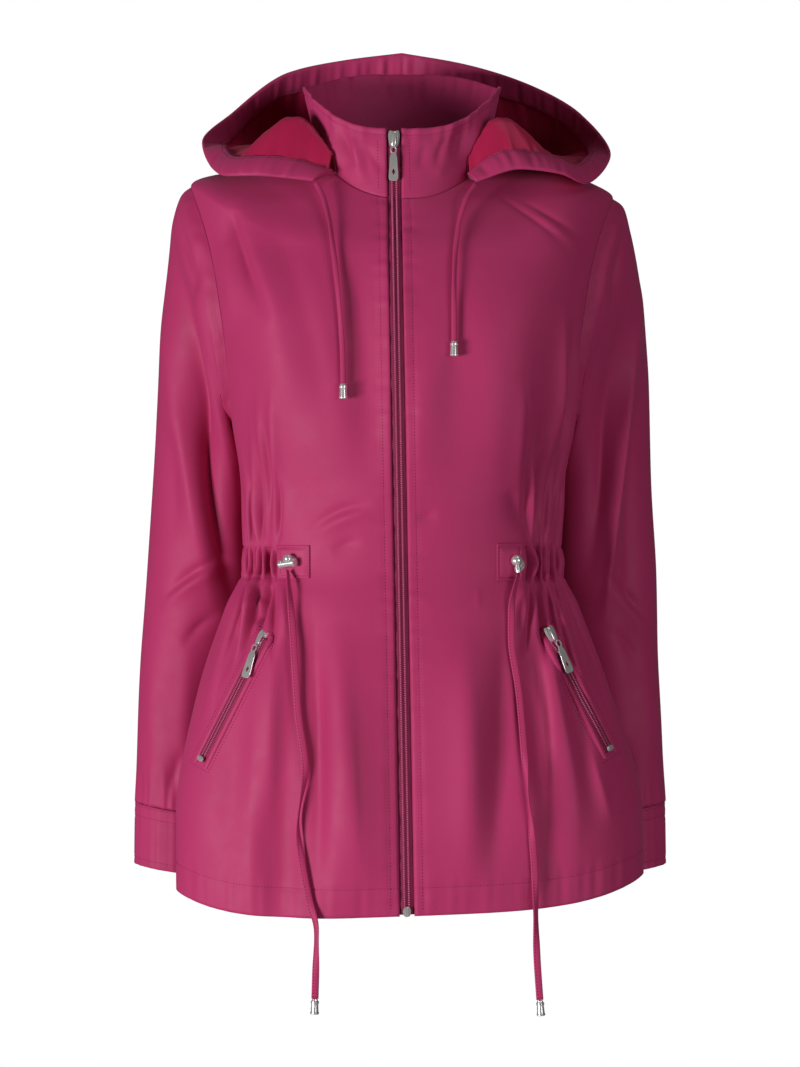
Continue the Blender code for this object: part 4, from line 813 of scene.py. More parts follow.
PINK_SHEEN, RED_SHEEN = (1.0, 0.55, 0.75, 1.0), (1.0, 0.5, 0.5, 1.0)
SHELL = cloth_material("shell_cloth", "shell_fabric", (0.455, 0.030, 0.127, 1), (0.485, 0.034, 0.139, 1),
                       0.60, 0.12, PINK_SHEEN, 0.0005)
SATIN = cloth_material("lining_satin", "lining_fabric", (0.40, 0.012, 0.064, 1), (0.46, 0.016, 0.076, 1),
                       0.34, 0.10, RED_SHEEN, 0.0004)
THREAD = cloth_material("sewing_thread", "shell_fabric", (0.13, 0.006, 0.034, 1), (0.18, 0.009, 0.046, 1),
                        0.55, 0.10, PINK_SHEEN, 0.0004)
# Zip tape: the shell's raspberry, darkened as painted shade for the recessed zip channel and pocket slits
TAPE_PAINTED_SHADE = cloth_material("zip_tape_painted_shade", "zip_tape", (0.22, 0.013, 0.058, 1), (0.27, 0.017, 0.072, 1),
                      0.62, 0.15, PINK_SHEEN, 0.0006)
# Coil teeth: the shell's magenta, lightened to pale pink as a painted highlight on the glossy teeth
COIL_PAINTED_HIGHLIGHT = moulded_material("coil_nylon_painted_highlight", "zip_coil", (0.58, 0.110, 0.250, 1), (0.66, 0.140, 0.300, 1), 0.34)
METAL = metal_material("silver_metal", "metal", (0.78, 0.77, 0.75, 1), (0.84, 0.83, 0.81, 1), 0.24)


def stitch_press(points, side):
    """Hollow along the zip's stitch line and a small roll at the panel's zip edge."""
    middle = zip_x(points[..., 2])
    off = np.abs(points[..., 0] - middle) - CHANNEL_HALF
    waves = ripple(points[..., 2] + side * ZIP_SHIFT, SEAM_WAVES)
    roll = -EDGE_ROLL * ease(off / EDGE_ROLL_REACH)
    groove = -ZIP_GROOVE * ease((off - ZIP_STITCH) / ZIP_GROOVE_REACH)
    return roll + groove + waves * ease((off - 0.4 * ZIP_STITCH) / ZIP_PULL_REACH)


def hem_press(v, points, side):
    """Hollow along the hem's stitch line and the ripples of the turned hem."""
    along = points[..., 0] * HEM_STRETCH + side * HEM_SHIFT
    groove = -HEM_GROOVE * ease((v - HEM_ROW) / HEM_GROOVE_ROWS)
    return groove + ripple(along, SEAM_WAVES) * HEM_RIPPLE * ease((v - 0.6 * HEM_ROW) / (1.2 * HEM_ROW))


def waist_press(points):
    """Hollow lines above and below the waist's drawcord channel, towards the sides."""
    away = np.clip((np.abs(points[..., 0]) - WAIST_START_X) / WAIST_FADE_X, 0, 1)
    lines = sum(ease((points[..., 2] - z) / WAIST_GROOVE_REACH) for z in WAIST_CHANNEL)
    return -WAIST_GROOVE * away * lines


def panel_grid(rows_of_u):
    """Plain grid of a torso panel with its directions."""
    plain = np.array([body(v, u) for v, u in zip(PANEL_ROWS, rows_of_u)])
    return plain, grid_normals(plain)


def front_panel(side, name):
    """One front, from the zip's edge to the side seam, armhole and shoulder seam."""
    marks = np.concatenate((np.linspace(0, 0.5, INNER_COLUMNS, endpoint=False),
                            np.linspace(0.5, 1, OUTER_COLUMNS + 1)))
    rows = []
    for v in PANEL_ROWS:
        start = x_to_u(v, zip_x(section_at(v).front_z) + side * CHANNEL_HALF)
        rows.append(start + (side * (edge_u(v)[0] - SEAM_U) - start) * marks)
    plain, normals = panel_grid(rows)
    normals = normals * side
    facing = np.clip(-normals[..., 1] * FACING, 0, 1)
    from_zip = np.clip((np.abs(plain[..., 0] - zip_x(plain[..., 2])) - CHANNEL_HALF) / BESIDE_ZIP, 0, 1)
    at_armhole = ease((PANEL_ROWS[:, None] - (UNDERARM_ROW + SHOULDER_ROW) / 2) / CALM_ROWS) ** 0.5
    free = 1 - at_armhole * ease((1 - marks) / ARMHOLE_CALM)
    beside_zip = ZIP_CALM + (1 - ZIP_CALM) * from_zip
    lift = FRONT_DEPTH * crease_lift(plain, FRONT_CREASES) * facing * beside_zip * free
    near_waist = np.exp(-np.abs(plain[..., 2] - WAIST_Z) / GATHER_REACH)
    lift += GATHER_DEPTH * crease_lift(plain, GATHERS, pinch) * facing * free * near_waist
    lift += stitch_press(plain, side) + hem_press(PANEL_ROWS[:, None], plain, side) + waist_press(plain)
    outer = plain + normals * lift[..., None]
    final = grid_normals(outer) * side
    shell(name, outer, outer - final * CLOTH, SHELL, turned=side < 0)
    return outer, final


def back_panel():
    """The back, from one side seam and armhole to the other."""
    marks = np.linspace(-1, 1, BACK_COLUMNS + 1)
    lap = np.concatenate(([-1], np.zeros(BACK_COLUMNS + 1), [1]))
    marks = np.concatenate((marks[:1], marks, marks[-1:]))
    rows = [1 + marks * (1 - edge_u(v)[1] - SEAM_U) + lap * SEAM_LAP_U for v in PANEL_ROWS]
    plain, normals = panel_grid(rows)
    plain = plain - normals * SEAM_LAP_SUNK * np.abs(lap)[None, :, None]
    facing = np.clip(normals[..., 1] * FACING, 0, 1)
    lift = crease_lift(plain, BACK_CREASES) * facing
    lift = lift + hem_press(PANEL_ROWS[:, None], plain, 0) + waist_press(plain)
    outer = plain + normals * lift[..., None]
    final = grid_normals(outer)
    shell("back", outer, outer - final * CLOTH, SHELL)
    return outer, final


def armhole_ring(side):
    """Armhole edge of the panels and its directions, from the shoulder down the front and up the back."""
    points, normals = [], []
    down = list(zip(ARM_ROWS, ARM_ANGLES))[::-1]
    around = [(v, 0) for v, _ in down] + [(v, 1) for v, _ in down[-2:0:-1]]
    for v, panel in around:
        u = np.array([side * edge_u(v)[panel]])
        points.append(body(v, u)[0])
        normals.append(body_normal(v, u)[0])
    return np.array(points), np.array(normals)


def sleeve_ring(side, row, angles):
    """One ring of a sleeve, from its outer line round the front to its inner line and back."""
    outer_left, outer_right, outer_z, inner_x, inner_z, centre_y, half_depth, _ = row
    outer_x = outer_left if side < 0 else outer_right
    middle = np.array(((outer_x + inner_x) / 2, centre_y, (outer_z + inner_z) / 2))
    reach = np.array(((outer_x - inner_x) / 2, 0, (outer_z - inner_z) / 2))
    depth = np.array((0, -half_depth, 0))
    ring = middle + np.cos(angles)[:, None] * reach + np.sin(angles)[:, None] * depth
    ring = ring * np.array((side, 1, 1))
    up_armhole = np.clip((ring[:, 2] - UNDERARM_Z) / (SHOULDER_Z - UNDERARM_Z), 0, 1)
    ring[:, 2] -= SHOULDER_TILT * up_armhole * ring[:, 0]
    return ring


def seam_start(points, normals, centre):
    """Edge points moved off the panels by the seam's gap, along the panels' own faces."""
    to_centre = centre - points
    to_centre -= normals * np.sum(to_centre * normals, axis=1, keepdims=True)
    return points + unit(to_centre) * SEAM_GAP


def refine(rings, per_step):
    """Rings with smooth ones added between them."""
    slopes = rising_slopes(rings)
    spans = len(rings) - 1
    return np.array([row_at(rings, slopes, v) for v in np.linspace(0, spans, spans * per_step + 1)])


def sleeve(side, tag):
    """A set-in sleeve with its creases and the small puckers of its seam."""
    edge, edge_normals = armhole_ring(side)
    angles = np.concatenate((ARM_ANGLES[::-1], 2 * math.pi - ARM_ANGLES[1:-1]))
    rings = [seam_start(edge, edge_normals, edge.mean(axis=0))]
    puffed = edge + edge_normals * SLEEVE_PUFF
    for row in SLEEVE:
        blend = row[-1]
        rings.append(blend * sleeve_ring(side, row, angles) + (1 - blend) * puffed)
    plain = refine(np.array(rings), ROWS_PER_RING)
    normals = grid_normals(plain, closed=True) * side
    normals[0] = unit(normals[0] + edge_normals)
    front = np.clip(SLEEVE_FRONT - normals[..., 1] * FACING, 0, 1)
    rear = np.clip(normals[..., 1] * REAR_FACING, 0, 1)
    steps = np.linspace(0, len(rings) - 1, len(plain))[:, None]
    to_cuff = len(rings) - 1 - steps
    free = np.clip(steps / CAP_CALM, 0, 1) * np.clip(to_cuff / CUFF_CALM, 0, 1)
    lift = SLEEVE_DEPTH * (crease_lift(plain, SLEEVE_CREASES[tag]) * front
                           + crease_lift(plain, SLEEVE_BACK_CREASES[tag]) * rear)
    around = angles[None, :] * SLEEVE_ROUND + side * SLEEVE_SHIFT
    pucker = ripple(around, SEAM_WAVES) * (CAP_PUCKER * ease((steps - 0.5) / PUCKER_RINGS)
                                           + CUFF_PUCKER * ease(to_cuff / PUCKER_RINGS))
    outer = plain + normals * (lift * free + pucker * np.clip(steps / CAP_SEWN, 0, 1))[..., None]
    final = grid_normals(outer, closed=True) * side
    final[0] = normals[0]
    shell("sleeve_" + tag, outer, outer - final * CLOTH, SHELL, closed=True, turned=side < 0)
    return angles


def cuff(side, tag, angles):
    """The cuff sewn to a sleeve's end."""
    plain = refine(np.array([sleeve_ring(side, row, angles) for row in CUFF]), CUFF_ROWS)
    normals = grid_normals(plain, closed=True) * side
    steps = np.linspace(0, 1, len(plain))[:, None]
    around = angles[None, :] * CUFF_ROUND + side * CUFF_SHIFT
    grooves = sum(LINE_GROOVE * ease((steps - line) / LINE_GROOVE_SHARE) for line in CUFF_STITCHES)
    lift = ripple(around, SEAM_WAVES) * CUFF_RIPPLE - grooves
    outer = plain + normals * lift[..., None]
    final = grid_normals(outer, closed=True) * side
    shell("cuff_" + tag, outer, outer - final * DOUBLE_CLOTH, SHELL, closed=True, turned=side < 0)
    return outer, final


def collar_top(u):
    """Top edge of the collar above neck position u."""
    top = COLLAR_TOP
    points = plain_ring(top, u)
    share = np.abs(points[:, 0]) / top.half_width
    end_z = np.where(points[:, 1] < 0, top.front_z, top.back_z)
    points[:, 2] = end_z + (top.side_z - end_z) * share ** COLLAR_RISE
    return points


def collar_rows(u, steps):
    """Points of the collar's outer face, from the neck seam up."""
    base = body(NECK_ROW, u)
    normals = body_normal(NECK_ROW, u)
    start = seam_start(base, normals, np.array((0, 0, 0.06)))
    top = collar_top(u)
    return np.array([start + (top - start) * step for step in steps]), normals


def collar():
    """Stand collar, open at the zip, with a stitched top edge."""
    right = x_to_u(NECK_ROW, zip_x(NECK_FRONT_Z) + CHANNEL_HALF)
    left = x_to_u(NECK_ROW, zip_x(NECK_FRONT_Z) - CHANNEL_HALF)
    u = np.linspace(right, 2 + left, COLLAR_SEGMENTS + 1)
    steps = np.linspace(0, 1, COLLAR_ROWS + 1)
    plain, edge_normals = collar_rows(u, steps)
    normals = grid_normals(plain)
    front = np.clip(-normals[..., 1] * FACING, 0, 1)
    free = np.sin(math.pi * np.clip(steps * 1.1, 0, 1))[:, None] ** 0.5
    lift = COLLAR_DEPTH * crease_lift(plain, COLLAR_CREASES) * front * free
    lift = lift + ripple(mouth_distance(plain), SEAM_WAVES) * COLLAR_RIPPLE * ease((1 - steps[:, None]) / 0.5)
    lift = lift - LINE_GROOVE * ease((steps[:, None] - COLLAR_STITCH) / LINE_GROOVE_SHARE)
    outer = plain + normals * lift[..., None]
    final = grid_normals(outer)
    final[0] = unit(final[0] + edge_normals)
    shell("collar", outer, outer - final * DOUBLE_CLOTH, SHELL)
    return outer, final


def hood_curve(w, steps=61):
    """Dense curve of the hood from the neck seam to its mouth; w is -1 left, 0 back, 1 right."""
    row = row_at(HOOD, HOOD_SLOPES, (1 - abs(w)) * (len(HOOD) - 1))
    side = -1 if w < 0 else 1
    mirror = np.array((side, 1, 1))
    mouth = row[LEFT_MOUTH if w < 0 else RIGHT_MOUTH] * mirror
    u = np.array([side * row[NECK_U]])
    down_slope = unit(body(NECK_ROW - 0.1, u)[0] - body(NECK_ROW, u)[0])
    neck = body(NECK_ROW, u)[0] + down_slope * HOOD_STANDOFF + body_normal(NECK_ROW, u)[0] * HOOD_LIFT
    t = np.linspace(0, 1, steps)[:, None]
    return ((1 - t) ** 3 * neck + 3 * t * (1 - t) ** 2 * (neck + row[NECK_BEND] * mirror)
            + 3 * t * t * (1 - t) * (mouth + row[MOUTH_BEND] * mirror) + t ** 3 * mouth)


def arc_lengths(line):
    """Length along a line up to each of its points."""
    return np.concatenate(([0], np.cumsum(np.linalg.norm(np.diff(line, axis=0), axis=1))))


def at_lengths(lengths, arc, table):
    """Rows of a table at lengths along its line."""
    return np.stack([np.interp(lengths, arc, table[:, axis]) for axis in range(3)], axis=-1)


def along_curve(points, fractions_of):
    """Points at lengths along a dense curve; the lengths are worked out from the whole length."""
    arc = arc_lengths(points)
    return at_lengths(fractions_of(arc[-1]), arc, points)


def hood_grid(ws, fractions_of):
    """Grid of hood points: a row for each step from neck to mouth, a column for each station."""
    return np.array([along_curve(hood_curve(w), fractions_of) for w in ws]).transpose(1, 0, 2)


def mouth_distance(grid):
    """Distance of each column along a grid's last row, such as the hood's mouth."""
    return arc_lengths(grid[-1])[None, :]


def hood_shell():
    """Three hood panels and the lining inside them."""
    left_seam, right_seam = PANEL_SEAMS
    ends = ((-1, left_seam - HOOD_SEAM_W), (left_seam + HOOD_SEAM_W, right_seam - HOOD_SEAM_W),
            (right_seam + HOOD_SEAM_W, 1))
    spans = [np.linspace(start, end, max(int(HOOD_STATIONS * (end - start) / 2), 12)) for start, end in ends]
    stations = np.concatenate(spans)
    share = np.linspace(0, 1, HOOD_ROWS + 1)
    grid = hood_grid(stations, lambda whole: share * (whole - CASING_WIDTH - CASING_GAP))
    inward = grid_normals(grid)
    near_mouth = np.clip(share[:, None] * 3 - 2, 0, 1)
    gathers = ripple(mouth_distance(grid), CASING_WAVES) * near_mouth ** 1.5 * HOOD_GATHER
    outer = grid + inward * gathers[..., None]
    first = 0
    for name, ws in zip(("hood_left", "hood_centre", "hood_right"), spans):
        part = slice(first, first + len(ws))
        shell(name, outer[:, part], (outer + inward * CLOTH)[:, part], SHELL, turned=True)
        first += len(ws)
    slack = ripple(mouth_distance(grid) + LINING_SHIFT, CASING_WAVES) * LINING_SLACK
    slack = slack * np.sin(math.pi * share)[:, None]
    lining = outer + inward * (CLOTH + 2 * SEAM_GAP + np.abs(slack))[..., None]
    for centre_w, half_w, centre_share, half_share, rise in LINING_TENTS:
        across = ease((stations[None, :] - centre_w) / half_w)
        tent = across * ease((share[:, None] - centre_share) / half_share)
        lining[..., 2] += rise * tent ** TENT_ROUND
    shell("hood_lining", lining, lining + inward * LINING_CLOTH, SATIN, turned=True)


def hood_casing():
    """The gathered band with the drawcord inside it, round the hood's mouth."""
    stations = np.linspace(-1, 1, HOOD_STATIONS * 2)
    share = np.linspace(0, 1, CASING_ROWS)
    band = hood_grid(stations, lambda whole: whole - (CASING_WIDTH + CASING_LAP) * (1 - share))
    inward = grid_normals(band)
    puff = np.sin(math.pi * share)[:, None] ** 0.6
    lap = 1 - share[:, None]
    drawn = DRAWN_ALL_OVER + DRAWN_CORNER * ease((np.abs(stations) - CORNER_W) / CORNER_HALF_W)
    drawn = drawn + sum(more * ease((stations - centre) / half) for centre, half, more in CASING_DRAWN)
    waves = ripple(mouth_distance(band), CASING_WAVES) * drawn
    other = ripple(mouth_distance(band) * CASING_STRETCH + CASING_SHIFT, CASING_WAVES) * drawn
    cover = lap * CASING_COVER
    outer = band - inward * (puff * (CASING_PUFF + CASING_DRAW * waves) + cover)[..., None]
    inside = puff * (CASING_PUFF + CASING_DRAW * other) + cover
    inner = band + inward * (CASING_WALL * (0.5 + 0.5 * lap) + inside)[..., None]
    shell("hood_casing", outer, inner, SHELL, turned=True)
    return [(outer[CASING_STITCH], -inward[CASING_STITCH]), (inner[CASING_STITCH], inward[CASING_STITCH])]


def cloth_tree(*grids):
    """Search tree over the outer faces of panels, for laying things on them."""
    faces, first = [], 0
    for grid in grids:
        rows, columns = grid.shape[:2]
        faces += grid_faces(rows, columns, False, first)
        first += rows * columns
    points = np.concatenate([grid.reshape(-1, 3) for grid in grids])
    return BVHTree.FromPolygons(points.tolist(), faces)


def cloth_point(tree, x, z, lift=0.0, from_y=-1.0):
    """Point of the cloth met from in front (or behind) at x and z, moved out by lift, and its direction."""
    hit, normal, _, _ = tree.ray_cast(Vector((x, from_y, z)), Vector((0.0, -from_y, 0.0)))
    normal = np.array(normal)
    if normal[1] * from_y < 0:
        normal = -normal
    return np.array(hit) + normal * lift, normal


def laid_line(tree, corners, from_y=-1.0):
    """Points and directions along straight runs between (x, z) corners, laid on the cloth."""
    corners = np.array(corners)
    points, normals = [], []
    for start, end in zip(corners[:-1], corners[1:]):
        count = max(int(np.linalg.norm(end - start) / LAID_STEP), 2)
        for t in np.linspace(0, 1, count):
            point, normal = cloth_point(tree, *(start + (end - start) * t), from_y=from_y)
            points.append(point)
            normals.append(normal)
    return np.array(points), np.array(normals)


def stitches(name, rows):
    """Rows of stitches as one mesh; each stitch is a small spindle pressed into the cloth."""
    blocks = []
    for line, out in rows:
        arc = arc_lengths(line)
        starts = np.arange(0.3 * STITCH_PITCH, arc[-1] - STITCH, STITCH_PITCH)
        head, tail = at_lengths(starts, arc, line), at_lengths(starts + STITCH, arc, line)
        middle = at_lengths(starts + STITCH / 2, arc, line)
        up = unit(at_lengths(starts + STITCH / 2, arc, out))
        across = unit(np.cross(tail - head, up)) * STITCH_HALF
        sunk = up * STITCH_SUNK
        blocks.append(np.stack((head - sunk, tail - sunk, middle + across, middle + up * STITCH_PROUD,
                                middle - across, middle - sunk), axis=1))
    points = np.concatenate(blocks)
    spindle = np.array(((0, 2, 3), (0, 3, 4), (0, 4, 5), (0, 5, 2),
                        (1, 3, 2), (1, 4, 3), (1, 5, 4), (1, 2, 5)))
    faces = (spindle[None] + 6 * np.arange(len(points))[:, None, None]).reshape(-1, 3)
    return add_piece(name, points.reshape(-1, 3), faces.tolist(), THREAD)


def tooth_rows(line, out, half, pitch):
    """Two facing rows of coil teeth along a line, one half a step behind the other."""
    arc = arc_lengths(line)
    blocks = []
    for side, shift in ((-1, 0.0), (1, 0.5)):
        places = np.arange(pitch, arc[-1] - pitch, pitch) + shift * pitch
        centre = at_lengths(places, arc, line)
        along = unit(at_lengths(places + pitch / 2, arc, line) - at_lengths(places - pitch / 2, arc, line))
        up = unit(at_lengths(places, arc, out))
        across = side * unit(np.cross(along, up))
        for reach, thick in TOOTH_SHAPE:
            middle = centre + across * half * reach
            long, tall = along * pitch * TOOTH_SHARE * thick, up * TOOTH_HALF * thick
            blocks.append(np.stack((middle + long + tall, middle - long + tall,
                                    middle - long - tall, middle + long - tall), axis=1))
    sets = len(TOOTH_SHAPE)
    rows = [np.stack(blocks[:sets], axis=1), np.stack(blocks[sets:], axis=1)]
    return [(row.reshape(-1, 3), bar_faces(len(row), sets)) for row in rows]


def bar_faces(count, sets):
    """Faces of many four-sided bars, each a run of squares with closed ends."""
    base = 4 * np.arange(sets - 1)[:, None] + np.arange(4)[None, :]
    turn = 4 * np.arange(sets - 1)[:, None] + (np.arange(4)[None, :] + 1) % 4
    sides = np.stack((base, turn, turn + 4, base + 4), axis=-1).reshape(-1, 4)
    last = 4 * (sets - 1)
    caps = np.array(((3, 2, 1, 0), (last, last + 1, last + 2, last + 3)))
    bar = np.concatenate((sides, caps))
    return (bar[None] + 4 * sets * np.arange(count)[:, None, None]).reshape(-1, 4).tolist()


def hard_piece(name, parts, material, body_name="jacket", node=None):
    """Several closed forms as one piece, facing outward, with its sharper edges kept crisp."""
    mesh = bmesh.new()
    for points, faces in parts:
        corners = [mesh.verts.new(point) for point in np.asarray(points, dtype=float)]
        for face in faces:
            mesh.faces.new([corners[i] for i in face])
    bmesh.ops.recalc_face_normals(mesh, faces=mesh.faces)
    for edge in mesh.edges:
        edge.smooth = edge.calc_face_angle(0.0) < CRISP_ANGLE
    obj = add_piece(name, [(0, 0, 0)], [], material, body_name, node)
    mesh.to_mesh(obj.data)
    mesh.free()
    for polygon in obj.data.polygons:
        polygon.use_smooth = True
    return obj


def lofted(loops, ring=False):
    """Points and faces through a row of loops, joined end to end as a ring or capped at both ends."""
    loops = np.asarray(loops, dtype=float)
    rows, columns = loops.shape[:2]
    faces = grid_faces(rows, columns, True)
    last = (rows - 1) * columns
    start = np.arange(columns)
    if ring:
        turn = (start + 1) % columns
        faces += np.stack((last + start, last + turn, turn, start), axis=-1).tolist()
    else:
        faces += [start[::-1].tolist(), (last + start).tolist()]
    return loops.reshape(-1, 3), faces


def softened(corners, rounds=2):
    """A closed outline with its corners cut round."""
    corners = np.asarray(corners, dtype=float)
    for _ in range(rounds):
        after = np.roll(corners, -1, axis=0)
        pairs = np.stack((0.75 * corners + 0.25 * after, 0.25 * corners + 0.75 * after), axis=1)
        corners = pairs.reshape(-1, 2)
    return corners


def node_place(name, turned=False):
    """Middle, axes and half sizes (width, length, thickness) of a frame node; turned, it faces front."""
    points = np.unique(np.round([vertex.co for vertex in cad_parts[name].data.vertices], 6), axis=0)
    _, _, (length, _, thin) = np.linalg.svd(points - points.mean(axis=0), full_matrices=False)
    up = length if length[2] > 0 else -length
    out = thin if thin[1] < 0 else -thin
    if turned:
        out = unit(TO_FRONT + up * up[1])
    right = np.cross(up, out)
    axes = np.array((right, up, out))
    local = (points - points.mean(axis=0)) @ axes.T
    middle = points.mean(axis=0) + ((local.max(axis=0) + local.min(axis=0)) / 2) @ axes
    return middle, axes, (local.max(axis=0) - local.min(axis=0)) / 2


def placed(part, place):
    """A form given by width, length and thickness, set into a place."""
    points, faces = part
    return place[0] + np.asarray(points) @ place[1], faces


def plate(outline, near, far, bevel):
    """A flat outline with bevelled edges, from near to far."""
    outline = np.asarray(outline)
    middle = outline.mean(axis=0)
    size = np.abs(outline - middle).max(axis=0)
    small = middle + (outline - middle) * (1 - bevel / size)
    levels = ((small, near), (outline, near + bevel), (outline, far - bevel), (small, far))
    return lofted([at_depth(loop, depth) for loop, depth in levels])


def at_depth(loop, depth):
    """A flat loop as points at one depth."""
    return np.column_stack((loop, np.full(len(loop), depth)))


def lathe(profile, axis, sides=28):
    """A turned form: (along, radius) pairs about an axis, width 0, length 1 or thickness 2."""
    turn = np.arange(sides) * 2 * math.pi / sides
    loops = []
    for along, radius in profile:
        loop = np.zeros((sides, 3))
        loop[:, axis] = along
        loop[:, (axis + 1) % 3] = radius * np.cos(turn)
        loop[:, (axis + 2) % 3] = radius * np.sin(turn)
        loops.append(loop)
    return lofted(loops)


def wire_ring(half_x, half_y, centre, wire):
    """A bent wire loop in the width and length plane."""
    turn = np.linspace(0, 2 * math.pi, 28, endpoint=False)
    path = np.stack((half_x * np.cos(turn), half_y * np.sin(turn)), axis=-1)
    away = unit(np.stack((np.cos(turn) / half_x, np.sin(turn) / half_y), axis=-1))
    loops = []
    for angle in np.linspace(0, 2 * math.pi, 10, endpoint=False):
        loops.append(at_depth(centre + path + away * wire * math.cos(angle), wire * math.sin(angle)))
    return lofted(loops, ring=True)


def outline_at(outline, centre, angles):
    """Points of a convex outline met from a centre in the given directions."""
    around = np.arctan2(outline[:, 1] - centre[1], outline[:, 0] - centre[0])
    order = np.argsort(around)
    reach = np.hypot(*(outline - centre).T)[order]
    inverse = np.interp(angles, around[order], 1 / reach, period=2 * math.pi)
    return centre + np.stack((np.cos(angles), np.sin(angles)), axis=-1) / inverse[:, None]


def pull(name, body_name):
    """A pull tab: wire bail at the hinge and a bevelled plate with a diamond hole."""
    place = node_place(name)
    top = place[2][1]
    half_wall = PULL["half_wall"]
    angles = np.linspace(-math.pi, math.pi, 48, endpoint=False)
    centre = np.array((0.0, top + PULL["hole_z"]))
    edge = outline_at(softened(PULL_EDGE + np.array((0.0, top)), 2), centre, angles)
    wide, tall = PULL["hole_half_x"], PULL["hole_half_z"]
    diamond = np.array(((wide, 0), (0, tall), (-wide, 0), (0, -tall))) * PULL["hole_share"]
    steps = np.linspace(0, 1, 7)[:-1, None]
    diamond = np.concatenate([a + (b - a) * steps for a, b in zip(diamond, np.roll(diamond, -1, axis=0))])
    hole = outline_at(centre + diamond, centre, angles)
    shy = centre + (edge - centre) * PULL["face_share"]
    lip = centre + (hole - centre) * PULL["lip_share"]
    low = PULL["edge_share"] * half_wall
    levels = ((edge, -low), (edge, low), (shy, half_wall), (lip, half_wall),
              (hole, low), (hole, -low), (lip, -half_wall), (shy, -half_wall))
    tab = lofted([at_depth(loop, depth) for loop, depth in levels], ring=True)
    bail = wire_ring(BAIL["half_x"], BAIL["half_y"], np.array((0.0, top - BAIL["drop"])), half_wall)
    return hard_piece(name + "_tab", [placed(tab, place), placed(bail, place)], METAL, body_name, name)


def slider(name):
    """A slider: bevelled wedge plate, a waisted top plate and an arched bridge for the tab."""
    place = node_place(name)
    wide, long, deep = place[2] * SLIDER_GROWTH
    wedge = softened(WEDGE * (wide, long), 2)
    base = plate(wedge, -deep, SLIDER["base_top"] * deep, METAL_BEVEL)
    half = SLIDER["plate_half"] * deep
    upper = plate(wedge * SLIDER["plate_share"], -half, half, METAL_BEVEL)
    thick = SLIDER["bridge_wall"] * deep
    loops = []
    for along, rise in BRIDGE:
        side = SLIDER["bridge_half"] * wide * (1 - SLIDER["bridge_taper"] * abs(along))
        loops.append([(x * side, along * long, deep * rise + y * thick) for x, y in softened(SQUARE, 2)])
    parts = [placed(part, place) for part in (base, upper, lofted(loops))]
    return hard_piece(name + "_body", parts, METAL, node=name)


def stop(name):
    """A bent metal stop: a block with rounded edges and a notch line across it."""
    place = node_place(name)
    wide, long, deep = place[2]
    block = plate(softened(SQUARE * (wide, long), 2), -deep, STOP["block_top"] * deep, METAL_BEVEL)
    small = SQUARE * (STOP["ridge_wide"] * wide, STOP["ridge_long"] * long)
    ridge = plate(softened(small, 2), STOP["ridge_foot"] * deep, deep, RIDGE_BEVEL)
    return hard_piece(name + "_block", [placed(block, place), placed(ridge, place)], METAL, node=name)


def crimp(name):
    """A bell-shaped metal end on a cord."""
    place = node_place(name, turned=True)
    length = place[2][1]
    radius = 0.5 * (place[2][0] + place[2][2])
    profile = [(along * length, size * radius) for along, size in CRIMP_PROFILE]
    return hard_piece(name + "_bell", [placed(lathe(profile, 1), place)], METAL, node=name)


def ball(centre, radius, axis):
    """A ball about a point of a place, as a turned form."""
    angles = np.linspace(-0.48, 0.48, 15) * math.pi
    points, faces = lathe([(radius * math.sin(a), radius * math.cos(a)) for a in angles], axis)
    return points + np.asarray(centre), faces


def cord_lock(name, upright):
    """A metal cord lock: an eyelet on the patch, with a barrel and dome, or with a ball and pin."""
    place = node_place(name, turned=True)
    length, radius = place[2][1], place[2][2]
    eyelet = [(EYELET["half_rise"] * math.sin(a) - radius - EYELET["depth"],
               EYELET["radius"] + EYELET["half_width"] * math.cos(a))
              for a in np.linspace(-math.pi, math.pi, 11)]
    if upright:
        pin = [(along * length, size * radius) for along, size in PIN_PROFILE]
        grip = ball((0.0, LOCK["ball_along"] * length, 0.0), LOCK["ball"] * radius, 1)
        parts = [lathe(pin, 1), grip, lathe(eyelet, 2)]
    else:
        barrel = [(along * length, size * radius) for along, size in BARREL_PROFILE]
        above = math.copysign(LOCK["dome_above"] * radius, place[1][0][2])
        centre = (above, LOCK["dome_along"] * length, -LOCK["dome_sunk"] * radius)
        parts = [lathe(barrel, 1), ball(centre, LOCK["dome"] * radius, 2), lathe(eyelet, 2)]
    return hard_piece(name + "_fitting", [placed(part, place) for part in parts], METAL, node=name)


def zip_row(level, offsets):
    """Points and directions across the front zip on one row: a section, or a step up the collar."""
    v, step = level
    if step is None:
        middle = zip_x(section_at(v).front_z)
        u = np.array([x_to_u(v, middle + offset) for offset in offsets])
        return body(v, u), body_normal(v, u)
    u = np.array([x_to_u(NECK_ROW, zip_x(NECK_FRONT_Z) + offset) for offset in offsets])
    rows, _ = collar_rows(u, (step - 0.05, step, step + 0.05))
    across = np.gradient(rows[1], axis=0)
    return rows[1], unit(np.cross(across, rows[2] - rows[0]))


def front_zip():
    """Front zip: tape under the panels' edges, two rows of teeth, slider, pull tab and stop."""
    levels = [(v, None) for v in ZIP_ROWS] + [(NECK_ROW, step) for step in ZIP_COLLAR_ROWS]
    rows = [zip_row(level, TAPE_OFFSETS) for level in levels]
    points, normals = (np.array([row[k] for row in rows]) for k in (0, 1))
    outer = points - normals * np.array(TAPE_DEPTHS)[None, :, None]
    shell("front_zip_tape", outer, outer - normals * TAPE_WALL, TAPE_PAINTED_SHADE)
    middle = len(TAPE_OFFSETS) // 2
    line = points[:, middle] + normals[:, middle] * (COIL_PROUD - TOOTH_HALF)
    hard_piece("front_zip_teeth", tooth_rows(line, normals[:, middle], COIL_HALF, ZIP_PITCH), COIL_PAINTED_HIGHLIGHT,
               node="front_zip_coil")
    slider("front_zip_slider")
    pull("front_zip_pull", "front_tab")
    stop("front_zip_stop")


def run_directions(start, end):
    """Directions along and sideways of a run in the (x, z) plane."""
    along = unit(end - start)
    return along, np.array((along[1], -along[0]))


